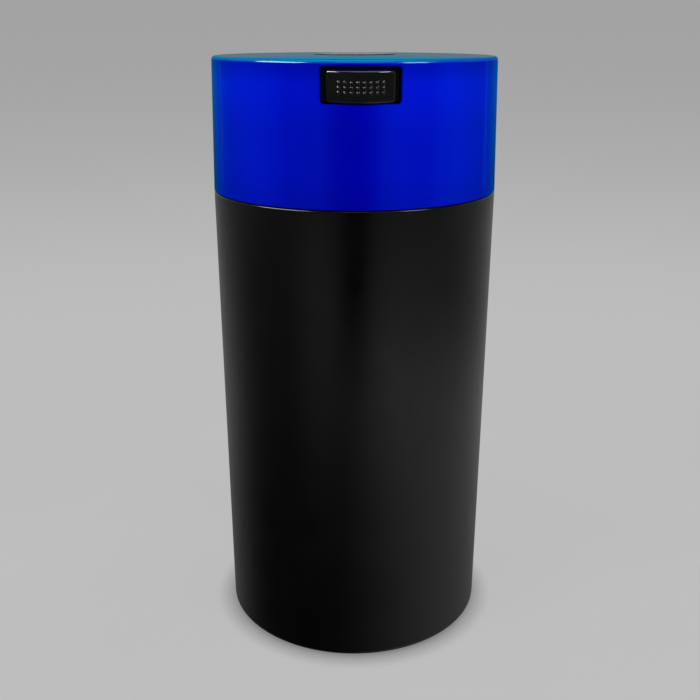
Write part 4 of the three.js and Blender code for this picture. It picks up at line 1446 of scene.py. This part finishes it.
def mirrored_light(env, up):
    """Brightness of the world in reflections."""
    level = env.level(env.pos)

    def towards(azimuth):
        return env.vector("DOT_PRODUCT", level, tuple(heading(azimuth)), out="Value")

    def sharpen(value, power):
        return env.math("POWER", env.math("MAXIMUM", value, 0.0), power)

    def lobe(azimuth, power, strength):
        return env.times(sharpen(towards(azimuth), power), strength)

    def add(a, b):
        return env.math("ADD", a, b)

    behind = env.remap(towards(180), over=(-0.2, 1.0), smooth=True)
    floor_glow = add(
        env.remap(up, over=(-0.57, -0.21), to=(0.05, 0.15)),
        env.remap(up, over=(-0.16, -0.01), to=(0.0, 0.25), smooth=True),
    )
    overhead = env.remap(up, over=(0.80, 1.0), to=(0.02, 0.15), smooth=True)
    total = add(add(env.times(behind, floor_glow), overhead), 0.004)
    # a soft glow at each side, near the horizon
    band = env.times(
        env.remap(up, over=(-0.22, -0.05), smooth=True),
        env.remap(up, over=(0.15, 0.40), to=(1.0, 0.0), smooth=True),
    )
    total = add(total, env.times(lobe(-92, power=22.0, strength=0.22), band))
    total = add(total, env.times(lobe(92, power=22.0, strength=0.26), band))
    for azimuth, power, stops in SCREENS:
        wide = sharpen(env.math("MULTIPLY_ADD", towards(azimuth), 0.5, 0.5), power)
        depth = env.ramp(env.remap(up, over=(-0.60, -0.10)), stops + [SCREEN_TOP])
        total = add(total, env.times(wide, depth))
    # the dark slot between the screens, above their lower halves
    slot = env.times(
        lobe(1, power=50.0, strength=0.92),
        env.remap(up, over=(-0.37, -0.30), smooth=True),
    )
    slot = env.times(slot, env.remap(up, over=(-0.16, -0.12), to=(1.0, 0.0)))
    return env.times(total, env.math("SUBTRACT", 1.0, slot))


def build_world():
    """Different backgrounds for the camera, for reflections and for diffuse light."""
    world = bpy.data.worlds.new("studio")
    bpy.context.scene.world = world
    env = Nodes(world, output="ShaderNodeOutputWorld", space="Generated")
    up = env.vector("DOT_PRODUCT", env.pos, (0, 0, 1), out="Value")

    def background(color, strength=1.0):
        return env.node("ShaderNodeBackground", Color=color, Strength=strength).outputs[0]

    seen = background(env.ramp(env.remap(up, over=(-0.30, 0.05)), BACKDROP))
    mirrored = background((1, 1, 1), mirrored_light(env, up))
    scattered = background((0.9, 0.93, 1.0), 0.35)
    path = env.node("ShaderNodeLightPath").outputs
    unseen = env.blend(path["Is Glossy Ray"], scattered, mirrored)
    env.done(env.blend(path["Is Camera Ray"], unseen, seen))


build_world()

# ------------------------------------------------------------------ camera
CAMERA_AWAY, CAMERA_Z = 0.4383, 0.2774
CAMERA_DOWN = math.radians(90 - 18.585)  # looks 18.585 degrees down
CAMERA_ROLL = 0.0018

cam_data = bpy.data.cameras.new("camera")
cam_data.sensor_width = 36.0
cam_data.lens = 49.0911428571
cam_data.shift_x = -0.00590
cam = bpy.data.objects.new("camera", cam_data)
cam.matrix_world = (
    Matrix.Translation(VIEWER * CAMERA_AWAY + Vector((0, 0, CAMERA_Z)))
    @ Matrix.Rotation(-TURN, 4, "Z")
    @ Matrix.Rotation(CAMERA_DOWN, 4, "X")
    @ Matrix.Rotation(CAMERA_ROLL, 4, "Z")
)
scene = bpy.context.scene
scene.collection.objects.link(cam)
scene.camera = cam
scene.view_settings.view_transform = "Standard"
scene.view_settings.look = "None"

bpy.context.view_layer.update()
